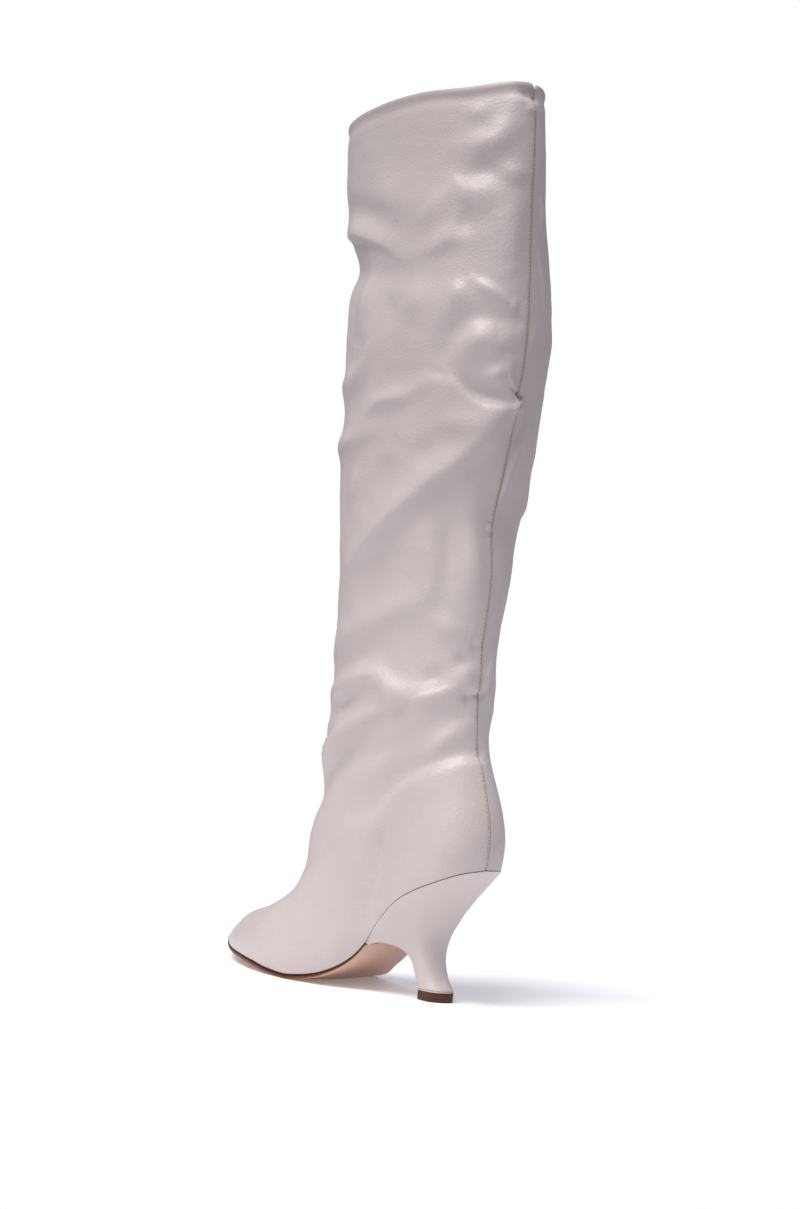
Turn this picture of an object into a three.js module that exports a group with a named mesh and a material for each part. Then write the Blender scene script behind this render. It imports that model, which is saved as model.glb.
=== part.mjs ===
// Wedge slouch boot, left foot: a knee-high pull-on boot on a comma-shaped wedge heel.
// Lengths are in millimetres. +X points to the toe, +Y to the wearer's left (the outer side), +Z up.
// The shoe stands on the floor at z = 0. Its pieces are the upper, outsole, heel, top lift and insole.
import * as THREE from "three";
import { mergeVertices } from "three/addons/utils/BufferGeometryUtils.js";

// Driving sizes
const FOOT_LENGTH = 238.5; // back of the heel seat to the tip of the toe, along the upper's lower edge
const BALL_WIDTH = 75; // across the ball of the foot at the upper's lower edge
const SEAT_WIDTH = 52; // across the heel seat
const SEAT_HEIGHT = 72; // lower edge of the upper at the back, above the floor
const SHAFT_HEIGHT = 418; // back seam from the heel seat to the collar
const SHAFT_DEPTH = 155; // collar from front to back
const SHAFT_WIDTH = 68; // collar from side to side
const UPPER_WALL = 1.8; // leather with its lining
const SOLE_THICKNESS = 2.6; // outsole at the ball
const SOLE_CROWN = 1.6; // how far the outsole bulges down across its width
const CROWN_RUN = 0.15; // share of the foot's length over which that bulge fades towards the toe
const EDGE_RUN = 0.12; // share of the foot's length over which the sole's edge comes out from the heel
const SOLE_EDGE = 0.4; // how far the outsole stands out past the upper
const INSOLE_THICKNESS = 2.4;
const HEEL_REACH = 66; // top of the heel from back to front
const LIFT_THICKNESS = 5.6; // top lift, the heel's tread
const LIFT_EDGE = 0.15; // how far the top lift stands out past the heel
const SEAM_STEP = 0.5; // the outer panel's edge stands up this much at the back seam
const CLEARANCE = 0.3; // gap between pieces that touch

// Half widths and heights of the upper's lower edge, from the back of the heel to the toe.
// along is a share of FOOT_LENGTH; seat columns are shares of SEAT_WIDTH and ball columns of BALL_WIDTH;
// rise columns are shares of the height of the heel seat over the tread; sole is a share of SOLE_THICKNESS.
// Out is the outer side of the foot and In is the inner side.
const PLAN = {
  columns: ["along", "seatOut", "seatIn", "ballOut", "ballIn", "riseOut", "riseIn", "sole"],
  rows: [
    [0.000, 0.000, 0.000, 0.000, 0.000, 1.000, 1.000, 0.45],
    [0.010, 0.212, 0.190, 0.000, 0.000, 0.972, 1.000, 0.45],
    [0.030, 0.350, 0.310, 0.000, 0.000, 0.931, 0.992, 0.45],
    [0.060, 0.455, 0.400, 0.000, 0.000, 0.875, 0.958, 0.45],
    [0.100, 0.515, 0.452, 0.000, 0.000, 0.813, 0.895, 0.45],
    [0.145, 0.529, 0.470, 0.000, 0.000, 0.740, 0.815, 0.45],
    [0.180, 0.519, 0.468, 0.000, 0.000, 0.667, 0.748, 0.45],
    [0.220, 0.490, 0.452, 0.007, 0.004, 0.555, 0.648, 0.45],
    [0.250, 0.440, 0.420, 0.028, 0.020, 0.454, 0.569, 0.45],
    [0.275, 0.370, 0.380, 0.071, 0.043, 0.352, 0.493, 0.46],
    [0.300, 0.280, 0.330, 0.153, 0.077, 0.250, 0.420, 0.50],
    [0.325, 0.190, 0.270, 0.251, 0.120, 0.171, 0.355, 0.56],
    [0.360, 0.080, 0.180, 0.377, 0.187, 0.098, 0.279, 0.65],
    [0.400, 0.000, 0.080, 0.471, 0.280, 0.048, 0.200, 0.78],
    [0.450, 0.000, 0.000, 0.501, 0.379, 0.016, 0.118, 0.93],
    [0.500, 0.000, 0.000, 0.516, 0.421, 0.000, 0.040, 1.00],
    [0.570, 0.000, 0.000, 0.513, 0.473, 0.014, 0.004, 1.00],
    [0.650, 0.000, 0.000, 0.480, 0.487, 0.044, 0.010, 1.00],
    [0.740, 0.000, 0.000, 0.400, 0.467, 0.063, 0.036, 0.97],
    [0.830, 0.000, 0.000, 0.280, 0.413, 0.074, 0.060, 0.93],
    [0.910, 0.000, 0.000, 0.140, 0.333, 0.092, 0.086, 0.90],
    [0.960, 0.000, 0.000, 0.033, 0.260, 0.110, 0.106, 0.87],
    [1.000, 0.000, 0.000, -0.113, 0.113, 0.128, 0.128, 0.85],
  ],
};

// Rings of the upper from its lower edge to the collar, one row each.
// backUp is a share of SHAFT_HEIGHT over the seat and frontUp of the whole height over the toe;
// backIn and foot are shares of FOOT_LENGTH and shaft of SHAFT_DEPTH; sag says how much a ring follows the
// curve of the lower edge and plan how much it follows its outline; out and in are shares of SHAFT_WIDTH;
// peak is where along its length the ring is widest.
const RINGS = {
  columns: ["backUp", "backIn", "frontUp", "foot", "shaft", "sag", "plan", "out", "in", "peak"],
  rows: [
    [0.000, 0.008, 0.000, 1.000, 0.000, 1.00, 1.00, 0.000, 0.000, 0.50],
    [0.019, 0.004, 0.0075, 0.985, 0.000, 0.97, 0.99, 0.024, 0.018, 0.50],
    [0.043, 0.004, 0.0155, 0.948, 0.000, 0.92, 0.95, 0.041, 0.034, 0.48],
    [0.072, 0.015, 0.0310, 0.873, 0.000, 0.84, 0.84, 0.074, 0.062, 0.45],
    [0.100, 0.033, 0.0465, 0.768, 0.000, 0.72, 0.65, 0.140, 0.120, 0.44],
    [0.129, 0.056, 0.0640, 0.658, 0.000, 0.56, 0.45, 0.221, 0.197, 0.44],
    [0.158, 0.075, 0.0985, 0.564, 0.000, 0.38, 0.25, 0.309, 0.285, 0.46],
    [0.187, 0.083, 0.1535, 0.300, 0.334, 0.20, 0.10, 0.390, 0.368, 0.48],
    [0.220, 0.083, 0.2190, 0.120, 0.555, 0.08, 0.03, 0.441, 0.426, 0.50],
    [0.239, 0.085, 0.2625, 0.000, 0.761, 0.03, 0.00, 0.456, 0.449, 0.50],
    [0.263, 0.087, 0.2970, 0.000, 0.739, 0.00, 0.00, 0.463, 0.463, 0.50],
    [0.306, 0.083, 0.3595, 0.000, 0.752, 0.00, 0.00, 0.471, 0.485, 0.50],
    [0.366, 0.077, 0.4330, 0.000, 0.781, 0.00, 0.00, 0.485, 0.544, 0.47],
    [0.438, 0.089, 0.5015, 0.000, 0.787, 0.00, 0.00, 0.500, 0.632, 0.44],
    [0.510, 0.060, 0.5690, 0.000, 0.865, 0.00, 0.00, 0.515, 0.647, 0.43],
    [0.593, 0.037, 0.6405, 0.000, 0.906, 0.00, 0.00, 0.522, 0.654, 0.43],
    [0.677, 0.025, 0.7130, 0.000, 0.948, 0.00, 0.00, 0.529, 0.654, 0.43],
    [0.737, 0.029, 0.767, 0.000, 0.952, 0.00, 0.00, 0.522, 0.640, 0.44],
    [0.785, 0.037, 0.811, 0.000, 0.916, 0.00, 0.00, 0.515, 0.588, 0.46],
    [0.852, 0.046, 0.867, 0.000, 0.974, 0.00, 0.00, 0.507, 0.515, 0.48],
    [0.916, 0.054, 0.923, 0.000, 1.000, 0.00, 0.00, 0.500, 0.478, 0.50],
    [1.000, 0.071, 0.981, 0.000, 0.994, 0.00, 0.00, 0.500, 0.470, 0.50],
  ],
};
const BACK_ROUNDNESS = 2.2; // exponents of a ring's outline behind and before its widest place
const FRONT_ROUNDNESS = 2.1;

// Broad slouch folds of the shaft, raised where height is positive and pressed in where it is negative.
// ring is the fold's place up the shaft in rows of RINGS and around its place from the back seam (0) to the
// front (1), negative on the inner side and closing on itself at the front; climb is how many rings it
// climbs across its own reach; reach and spread are half its length around and half its breadth in rings;
// height is a share of SHAFT_WIDTH.
const FOLDS = {
  columns: ["ring", "around", "climb", "reach", "spread", "height"],
  rows: [
    [6.9, 0.62, -0.7, 0.34, 0.55, 0.040],
    [5.7, 0.55, -0.9, 0.30, 0.50, -0.022],
    [8.7, 0.50, -0.6, 0.40, 0.70, 0.040],
    [7.8, 0.55, -0.7, 0.34, 0.45, -0.030],
    [8.4, -0.55, 0.6, 0.40, 0.70, 0.036],
    [6.9, -0.55, 0.6, 0.36, 0.60, 0.030],
    [12.6, 0.26, 0.5, 0.20, 0.60, 0.026],
    [14.6, 0.30, 0.8, 0.22, 0.50, -0.026],
    [16.2, 0.22, 0.5, 0.18, 0.60, 0.030],
    [17.7, 0.72, 0.5, 0.30, 0.45, -0.034],
    [18.8, 0.40, 0.4, 0.26, 0.50, 0.024],
    [16.6, -0.45, -0.5, 0.30, 0.60, 0.024],
    [14.2, -0.60, 0.5, 0.30, 0.60, -0.026],
    [18.4, -0.50, 0.4, 0.34, 0.50, -0.026],
    [2.6, 1.00, 0.0, 0.34, 1.20, 0.044],
  ],
};

// Rings of the heel from its top to the top lift, one row each.
// back and front are shares of HEEL_REACH from the back of the seat; backUp and frontUp are shares of the
// heel's height over its top lift; sag follows the seat's curve as in RINGS; backWide and frontWide are
// shares of the seat's own width.
const HEEL_RINGS = {
  columns: ["back", "backUp", "front", "frontUp", "sag", "backWide", "frontWide"],
  rows: [
    [0.000, 1.000, 1.000, 0.315, 1.00, 1.000, 1.000],
    [0.034, 0.974, 0.994, 0.315, 0.97, 0.980, 0.990],
    [0.105, 0.912, 0.914, 0.321, 0.74, 0.860, 0.950],
    [0.212, 0.820, 0.856, 0.324, 0.52, 0.720, 0.870],
    [0.310, 0.722, 0.808, 0.320, 0.34, 0.620, 0.780],
    [0.400, 0.616, 0.765, 0.307, 0.20, 0.540, 0.680],
    [0.468, 0.518, 0.727, 0.287, 0.10, 0.470, 0.580],
    [0.500, 0.427, 0.697, 0.253, 0.04, 0.405, 0.490],
    [0.505, 0.336, 0.676, 0.210, 0.01, 0.350, 0.410],
    [0.487, 0.237, 0.652, 0.130, 0.00, 0.310, 0.345],
    [0.432, 0.108, 0.615, 0.047, 0.00, 0.300, 0.315],
    [0.345, 0.000, 0.595, 0.000, 0.00, 0.320, 0.310],
  ],
};
const HEEL_LIP = 0.45; // thickness of the heel's front edge, a share of SOLE_THICKNESS
const CORNER = 0.06; // share of a heel ring over which its front corners round off
const CORNER_DRAW = 0.08; // share of the width that a front corner draws in

// How finely the surfaces are divided
const STATIONS = 24; // steps along the foot, shared by every piece that meets the lower edge
const FOOT_RINGS = 20; // rings from the lower edge to the ankle
const SHAFT_RINGS = 24; // rings from the ankle to the collar
const ANKLE_ROW = 9; // row of RINGS at the ankle
const HEEL_STEPS = 20;
const ACROSS = 8; // strips across the outsole, insole and heel front
const SEAM_ANGLE = 0.02; // the seam's step is as wide as this angle around a ring

const LEATHER = { color: 0xc9bfbb, roughness: 0.45, metalness: 0 };
const SOLE_LEATHER = { color: 0xc99c83, roughness: 0.5, metalness: 0 };
const LIFT_RUBBER = { color: 0x4f3218, roughness: 0.6, metalness: 0 };
const LINING = { color: 0xd9c8b4, roughness: 0.7, metalness: 0 };

const mix = (a, b, t) => a + (b - a) * t;
const between = (p, q, t) => ({ x: mix(p.x, q.x, t), y: mix(p.y, q.y, t), z: mix(p.z, q.z, t) });
const clamp = (x, low, high) => Math.min(Math.max(x, low), high);
const cubic = (p, q, slopeP, slopeQ, t) =>
  (2 * t ** 3 - 3 * t ** 2 + 1) * p + (t ** 3 - 2 * t ** 2 + t) * slopeP
  + (3 * t ** 2 - 2 * t ** 3) * q + (t ** 3 - t ** 2) * slopeQ;

// A table with its columns as arrays.
function columns(table) {
  return Object.fromEntries(table.columns.map((name, k) => [name, table.rows.map((row) => row[k])]));
}

// A column read smoothly at a row number with a fraction.
function atRow(values, row) {
  const last = values.length - 1;
  const i = Math.min(Math.floor(clamp(row, 0, last)), last - 1);
  const step = (k) => (values[Math.min(k + 1, last)] - values[Math.max(k - 1, 0)]) / 2;
  const slope = (k) => (k === 0 || k === last ? values[i + 1] - values[i] : step(k));
  return cubic(values[i], values[i + 1], slope(i), slope(i + 1), clamp(row, 0, last) - i);
}

// A column read smoothly over another column, with no overshoot between rows.
function over(xs, ys, x) {
  const last = xs.length - 1;
  const rise = (k) => (ys[k + 1] - ys[k]) / (xs[k + 1] - xs[k]);
  const slope = (k) => {
    if (k === 0) return rise(0);
    if (k === last) return rise(last - 1);
    const before = rise(k - 1);
    const after = rise(k);
    return before * after <= 0 ? 0 : (2 * before * after) / (before + after);
  };
  let i = 0;
  while (i < last - 1 && x > xs[i + 1]) i += 1;
  const width = xs[i + 1] - xs[i];
  return cubic(ys[i], ys[i + 1], slope(i) * width, slope(i + 1) * width, clamp((x - xs[i]) / width, 0, 1));
}

const plan = columns(PLAN);
const rings = columns(RINGS);
const folds = columns(FOLDS);
const heelRings = columns(HEEL_RINGS);
const angleOf = (along) => Math.acos(clamp(1 - 2 * along, -1, 1));
const alongOf = (angle) => (1 - Math.cos(angle)) / 2;
const planAngles = plan.along.map(angleOf);
const planAt = (name, along) => over(planAngles, plan[name], angleOf(along));

// The lower edge of the upper: half width and height on one side, side being 1 outside and -1 inside.
const BACK_X = rings.backIn[0] * FOOT_LENGTH;
function halfWidth(along, side) {
  const [seat, ball] = side > 0 ? ["seatOut", "ballOut"] : ["seatIn", "ballIn"];
  return planAt(seat, along) * SEAT_WIDTH + planAt(ball, along) * BALL_WIDTH;
}
function edgeHeight(along, side) {
  return mix(SOLE_THICKNESS, SEAT_HEIGHT, planAt(side > 0 ? "riseOut" : "riseIn", along));
}
const TOE_Z = edgeHeight(1, 1);
// How far the lower edge lies over or under the straight line from the heel seat to the toe.
const edgeSag = (along, side) => edgeHeight(along, side) - mix(SEAT_HEIGHT, TOE_Z, along);

// The places along the foot where every piece that meets the lower edge has its points.
const stationAngles = Array.from({ length: STATIONS + 1 }, (_, i) => (Math.PI * i) / STATIONS);
const stations = stationAngles.map(alongOf);
const edgePoint = (along, side) => ({
  x: BACK_X + along * FOOT_LENGTH,
  y: side * halfWidth(along, side),
  z: edgeHeight(along, side),
});
const bedRows = stations.map((along) => [edgePoint(along, -1), edgePoint(along, 1)]);

// The two sides of the surface that the foot pieces meet on, straight from station to station.
function bedSides(x) {
  let i = 0;
  while (i < bedRows.length - 2 && x > bedRows[i + 1][0].x) i += 1;
  const t = clamp((x - bedRows[i][0].x) / (bedRows[i + 1][0].x - bedRows[i][0].x), 0, 1);
  return [0, 1].map((k) => between(bedRows[i][k], bedRows[i + 1][k], t));
}

// Height of that surface, which is straight across the foot.
function bedHeight(x, y) {
  const [inner, outer] = bedSides(x);
  const width = outer.y - inner.y;
  return width < 1e-6 ? inner.z : mix(inner.z, outer.z, clamp((y - inner.y) / width, 0, 1));
}

// The raised or pressed-in height of the slouch folds at one place of the shaft.
function foldHeight(row, around) {
  return folds.ring.reduce((sum, ring, k) => {
    const away = around - folds.around[k];
    const aside = (away - 2 * Math.round(away / 2)) / folds.reach[k];
    const up = (row - ring - folds.climb[k] * aside) / folds.spread[k];
    return sum + folds.height[k] * SHAFT_WIDTH * Math.exp(-aside * aside - up * up);
  }, 0);
}

// Half outline of a ring: 0 at its ends and 1 where it is widest.
function roundness(along, peak) {
  const [reach, power] = along > peak ? [(along - peak) / (1 - peak), FRONT_ROUNDNESS]
    : [(peak - along) / peak, BACK_ROUNDNESS];
  return Math.sqrt(Math.max(0, 1 - reach ** power));
}

const TOP_ROW = RINGS.rows.length - 1;

// A point of the last's surface: row up the boot, angle around it from the back (0) to the front (pi).
function lastPoint(row, angle, side) {
  const ring = Object.fromEntries(RINGS.columns.map((name) => [name, atRow(rings[name], row)]));
  const along = alongOf(angle);
  const backX = ring.backIn * FOOT_LENGTH;
  const backZ = SEAT_HEIGHT + ring.backUp * SHAFT_HEIGHT;
  const frontZ = mix(TOE_Z, SEAT_HEIGHT + SHAFT_HEIGHT, ring.frontUp);
  const width = (side > 0 ? ring.out : ring.in) * SHAFT_WIDTH * roundness(along, ring.peak);
  return new THREE.Vector3(
    backX + along * (ring.foot * FOOT_LENGTH + ring.shaft * SHAFT_DEPTH),
    side * (ring.plan * halfWidth(along, side) + width),
    mix(backZ, frontZ, along) + ring.sag * edgeSag(along, side),
  );
}

// The outward normal there, from neighbouring points.
function lastNormal(row, angle, side) {
  const turn = 0.01;
  const lift = 0.02;
  const a = clamp(angle, turn, Math.PI - turn);
  const [low, high] = [Math.max(row - lift, 0), Math.min(row + lift, TOP_ROW)];
  const around = lastPoint(row, a + turn, side).sub(lastPoint(row, a - turn, side));
  const up = lastPoint(high, a, side).sub(lastPoint(low, a, side));
  const normal = (side > 0 ? up.cross(around) : around.cross(up)).normalize();
  if (a !== angle) normal.y = 0;
  return normal.normalize();
}

// A point of the upper, depth deep in its wall. Its lowest points sit on the surface that the foot pieces
// share.
function upperPoint(row, angle, side, depth) {
  const normal = lastNormal(row, angle, side);
  const point = lastPoint(row, angle, side);
  const seam = side > 0 && angle > SEAM_ANGLE / 2 && angle < stationAngles[2] ? SEAM_STEP : 0;
  const raised = foldHeight(row, (side * angle) / Math.PI) + (depth === 0 ? seam : 0);
  point.addScaledVector(normal, raised - depth);
  if (row === 0) point.z = bedHeight(point.x, point.y) + CLEARANCE / 2;
  return point;
}

// A closed body as a named mesh.
function body(name, points, triangles, finish) {
  const geometry = new THREE.BufferGeometry();
  const numbers = points.flatMap((point) => [point.x, point.y, point.z]);
  geometry.setAttribute("position", new THREE.Float32BufferAttribute(numbers, 3));
  geometry.setIndex(triangles.flat());
  const merged = mergeVertices(geometry, 1e-4);
  const index = merged.index.array;
  const kept = [];
  for (let i = 0; i < index.length; i += 3) {
    const [a, b, c] = index.slice(i, i + 3);
    if (a !== b && b !== c && c !== a) kept.push(a, b, c);
  }
  merged.setIndex(kept);
  merged.computeVertexNormals();
  const mesh = new THREE.Mesh(merged, new THREE.MeshStandardMaterial(finish));
  mesh.name = name;
  return mesh;
}

const ringRows = [
  ...Array.from({ length: FOOT_RINGS }, (_, i) => (ANKLE_ROW * i) / FOOT_RINGS),
  ...Array.from({ length: SHAFT_RINGS + 1 }, (_, i) => mix(ANKLE_ROW, TOP_ROW, i / SHAFT_RINGS)),
];

// The upper: an outer and an inner skin, joined at the collar and at the lower edge, open at both.
function upper() {
  const outerAngles = [0, SEAM_ANGLE, ...stationAngles.slice(1)];
  const loop = [
    ...outerAngles.map((angle) => [angle, 1]),
    ...stationAngles.slice(1, -1).reverse().map((angle) => [angle, -1]),
  ];
  const points = [];
  for (const depth of [0, UPPER_WALL]) {
    for (const row of ringRows) {
      for (const [angle, side] of loop) points.push(upperPoint(row, angle, side, depth));
    }
  }
  const around = loop.length;
  const high = ringRows.length;
  const at = (skin, ring, k) => (skin * high + ring) * around + (k % around);
  const triangles = [];
  const quad = (a, b, c, d) => triangles.push([a, b, c], [a, c, d]);
  for (let k = 0; k < around; k += 1) {
    for (let ring = 0; ring < high - 1; ring += 1) {
      quad(at(0, ring, k), at(0, ring + 1, k), at(0, ring + 1, k + 1), at(0, ring, k + 1));
      quad(at(1, ring, k), at(1, ring, k + 1), at(1, ring + 1, k + 1), at(1, ring + 1, k));
    }
    quad(at(0, high - 1, k), at(1, high - 1, k), at(1, high - 1, k + 1), at(0, high - 1, k + 1));
    quad(at(0, 0, k), at(0, 0, k + 1), at(1, 0, k + 1), at(1, 0, k));
  }
  return body("upper", points, triangles, LEATHER);
}

// A sheet along the foot: each row gives its x and its two sides, and topAt and bottomAt give heights.
function slab(name, rows, topAt, bottomAt, finish) {
  const points = [];
  for (const heightAt of [topAt, bottomAt]) {
    for (const { x, inner, outer, along } of rows) {
      for (let k = 0; k <= ACROSS; k += 1) {
        const y = mix(inner, outer, k / ACROSS);
        points.push({ x, y, z: heightAt(x, y, along, (2 * k) / ACROSS - 1) });
      }
    }
  }
  const at = (skin, row, k) => (skin * rows.length + row) * (ACROSS + 1) + k;
  const triangles = [];
  const quad = (a, b, c, d) => triangles.push([a, b, c], [a, c, d]);
  const last = rows.length - 1;
  for (let row = 0; row < last; row += 1) {
    for (let k = 0; k < ACROSS; k += 1) {
      quad(at(0, row, k), at(0, row + 1, k), at(0, row + 1, k + 1), at(0, row, k + 1));
      quad(at(1, row, k), at(1, row, k + 1), at(1, row + 1, k + 1), at(1, row + 1, k));
    }
    quad(at(0, row, 0), at(1, row, 0), at(1, row + 1, 0), at(0, row + 1, 0));
    quad(at(0, row, ACROSS), at(0, row + 1, ACROSS), at(1, row + 1, ACROSS), at(1, row, ACROSS));
  }
  for (let k = 0; k < ACROSS; k += 1) {
    quad(at(0, 0, k), at(0, 0, k + 1), at(1, 0, k + 1), at(1, 0, k));
    quad(at(0, last, k), at(1, last, k), at(1, last, k + 1), at(0, last, k + 1));
  }
  return body(name, points, triangles, finish);
}

const HEEL_FRONT = HEEL_REACH / FOOT_LENGTH; // where the heel ends and the outsole starts, along the foot

// The outsole: from the heel's front edge to the toe, with a flat tread at the ball.
function outsole() {
  const start = HEEL_FRONT + CLEARANCE / FOOT_LENGTH;
  const kept = [start, ...stations.filter((along) => along > start + 0.01)];
  const rows = kept.map((along) => {
    const edge = SOLE_EDGE * clamp((along - start) / EDGE_RUN, 0, 1);
    const tip = along === 1 ? edge : 0;
    const x = BACK_X + along * FOOT_LENGTH;
    const [inner, outer] = bedSides(x);
    return { along, x: x + tip, inner: inner.y - edge + tip, outer: outer.y + edge - tip };
  });
  const topAt = (x, y) => bedHeight(x, y) - CLEARANCE / 2;
  const bottomAt = (x, y, along, across) => {
    const crown = SOLE_CROWN * (1 - across ** 2) * clamp((1 - along) / CROWN_RUN, 0, 1);
    return Math.max(0, bedHeight(x, y) - planAt("sole", along) * SOLE_THICKNESS - crown);
  };
  return slab("outsole", rows, topAt, bottomAt, SOLE_LEATHER);
}

// Half width of a ring of points at x on one side.
function widthAt(ring, x) {
  for (let i = 0; i < ring.length - 1; i += 1) {
    if (x >= ring[i].x && x <= ring[i + 1].x) {
      const t = (x - ring[i].x) / Math.max(ring[i + 1].x - ring[i].x, 1e-6);
      return mix(ring[i].y, ring[i + 1].y, t);
    }
  }
  return ring[x < ring[0].x ? 0 : ring.length - 1].y;
}

// The insole: it fills the upper's lower opening, clear of the wall from its own bottom to over its top.
function insole() {
  const wallRing = (row, side) => stationAngles.map((angle) => upperPoint(row, angle, side, UPPER_WALL));
  const walls = [-1, 1].map((side) => ringRows.slice(0, 3).map((row) => wallRing(row, side)));
  const start = Math.max(...walls.flat().map((ring) => ring[0].x)) + CLEARANCE;
  const end = Math.min(...walls.flat().map((ring) => ring[ring.length - 1].x)) - CLEARANCE;
  const xs = [start, ...bedRows.map((row) => row[0].x).filter((x) => x > start + 1 && x < end - 1), end];
  const rows = xs.map((x) => {
    const inner = Math.max(...walls[0].map((ring) => widthAt(ring, x))) + CLEARANCE;
    const outer = Math.min(...walls[1].map((ring) => widthAt(ring, x))) - CLEARANCE;
    const middle = (inner + outer) / 2;
    return { x, inner: Math.min(inner, middle), outer: Math.max(outer, middle) };
  });
  const bottomAt = (x, y) => bedHeight(x, y) + CLEARANCE / 2;
  return slab("insole", rows, (x, y) => bottomAt(x, y) + INSOLE_THICKNESS, bottomAt, LINING);
}

// A ring of the heel: along its outer side, across its front and back along its inner side.
const heelStations = [...stations.filter((along) => along < HEEL_FRONT * (1 - CORNER)), HEEL_FRONT];
const HEEL_FOOT_Z = LIFT_THICKNESS + CLEARANCE;
function heelRing(row) {
  const ring = Object.fromEntries(HEEL_RINGS.columns.map((name) => [name, atRow(heelRings[name], row)]));
  const seatSide = (along, side) => bedSides(BACK_X + along * FOOT_LENGTH)[side > 0 ? 1 : 0];
  const seatTop = (along, side) => seatSide(along, side).z - CLEARANCE / 2;
  const backZ = mix(HEEL_FOOT_Z, seatTop(0, 1), ring.backUp);
  const lip = clamp(row, 0, 1) * HEEL_LIP * SOLE_THICKNESS;
  const tuck = clamp(2 - row, 0, 1);
  const frontZ = mix(mix(HEEL_FOOT_Z, SEAT_HEIGHT, ring.frontUp), seatTop(HEEL_FRONT, 1) - lip, tuck);
  const point = (along, side) => {
    const t = along / HEEL_FRONT;
    const chord = mix(seatTop(0, 1), seatTop(HEEL_FRONT, 1), t);
    const corner = 1 - CORNER_DRAW * clamp((t - 1 + CORNER) / CORNER, 0, 1) * clamp(row, 0, 1);
    return {
      x: BACK_X + mix(ring.back, ring.front, t) * HEEL_REACH,
      y: seatSide(along, side).y * mix(ring.backWide, ring.frontWide, t) * corner,
      z: mix(backZ, frontZ, t) + ring.sag * (seatTop(along, side) - chord),
    };
  };
  const outer = heelStations.map((along) => point(along, 1));
  const inner = heelStations.slice(1).map((along) => point(along, -1)).reverse();
  const corners = [outer[outer.length - 1], inner[0]];
  const front = Array.from({ length: ACROSS - 1 }, (_, k) => {
    const t = (k + 1) / ACROSS;
    return between(corners[0], corners[1], t);
  });
  return [...outer, ...front, ...inner];
}

// A stack of heel-shaped rings, closed at its top and bottom by strips from side to side.
function stack(name, ringList, finish) {
  const points = ringList.flat();
  const around = ringList[0].length;
  const at = (ring, k) => ring * around + (k % around);
  const triangles = [];
  for (let ring = 0; ring < ringList.length - 1; ring += 1) {
    for (let k = 0; k < around; k += 1) {
      triangles.push([at(ring, k), at(ring, k + 1), at(ring + 1, k + 1)]);
      triangles.push([at(ring, k), at(ring + 1, k + 1), at(ring + 1, k)]);
    }
  }
  const cap = (ring, facesUp) => {
    const first = points.length;
    for (let i = 0; i < heelStations.length; i += 1) {
      const [outer, inner] = [ring[i], ring[(around - i) % around]];
      for (let k = 0; k <= ACROSS; k += 1) {
        points.push(between(inner, outer, k / ACROSS));
      }
    }
    for (let i = 0; i < heelStations.length - 1; i += 1) {
      for (let k = 0; k < ACROSS; k += 1) {
        const a = first + i * (ACROSS + 1) + k;
        const [b, c, d] = [a + ACROSS + 1, a + ACROSS + 2, a + 1];
        triangles.push(...(facesUp ? [[a, b, c], [a, c, d]] : [[a, c, b], [a, d, c]]));
      }
    }
  };
  cap(ringList[0], true);
  cap(ringList[ringList.length - 1], false);
  return body(name, points, triangles, finish);
}

// The heel: a short wedge under the arch that runs down into a curved stem.
function heel() {
  const last = HEEL_RINGS.rows.length - 1;
  const list = Array.from({ length: HEEL_STEPS + 1 }, (_, i) => heelRing((last * i) / HEEL_STEPS));
  list[HEEL_STEPS].forEach((point) => { point.z = HEEL_FOOT_Z; });
  return stack("heel", list, LEATHER);
}

// The top lift: the heel's lowest outline, a little proud of it, with a flat tread on the floor.
function topLift() {
  const ring = heelRing(HEEL_RINGS.rows.length - 1);
  const xs = ring.map((point) => point.x);
  const middle = (Math.min(...xs) + Math.max(...xs)) / 2;
  const growth = 1 + LIFT_EDGE / Math.max(...ring.map((point) => point.y));
  const grown = ({ x, y }, z) => ({ x: mix(middle, x, growth), y: y * growth, z });
  const outline = (height) => ring.map((point) => grown(point, height));
  return stack("top_lift", [outline(LIFT_THICKNESS), outline(0)], LIFT_RUBBER);
}

const boot = new THREE.Group();
boot.add(upper(), outsole(), heel(), topLift(), insole());

// The origin is on the floor under the middle of the boot's own box.
const box = new THREE.Box3().setFromObject(boot);
const middle = box.getCenter(new THREE.Vector3());
boot.position.set(-middle.x, -middle.y, -box.min.z);

export default boot;
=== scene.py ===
"""Wedge slouch boot, left foot: leather upper, covered wedge heel, thin leather outsole and studio.

Lengths in the tables and in the helper functions are millimetres in the part's own axes: +X to the toe,
+Y to the outer side, +Z up, with x = 0 near the back of the heel seat. place() brings points into the row
frame, in metres.
"""

import bpy
import numpy as np
from mathutils import Matrix, Vector


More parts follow.
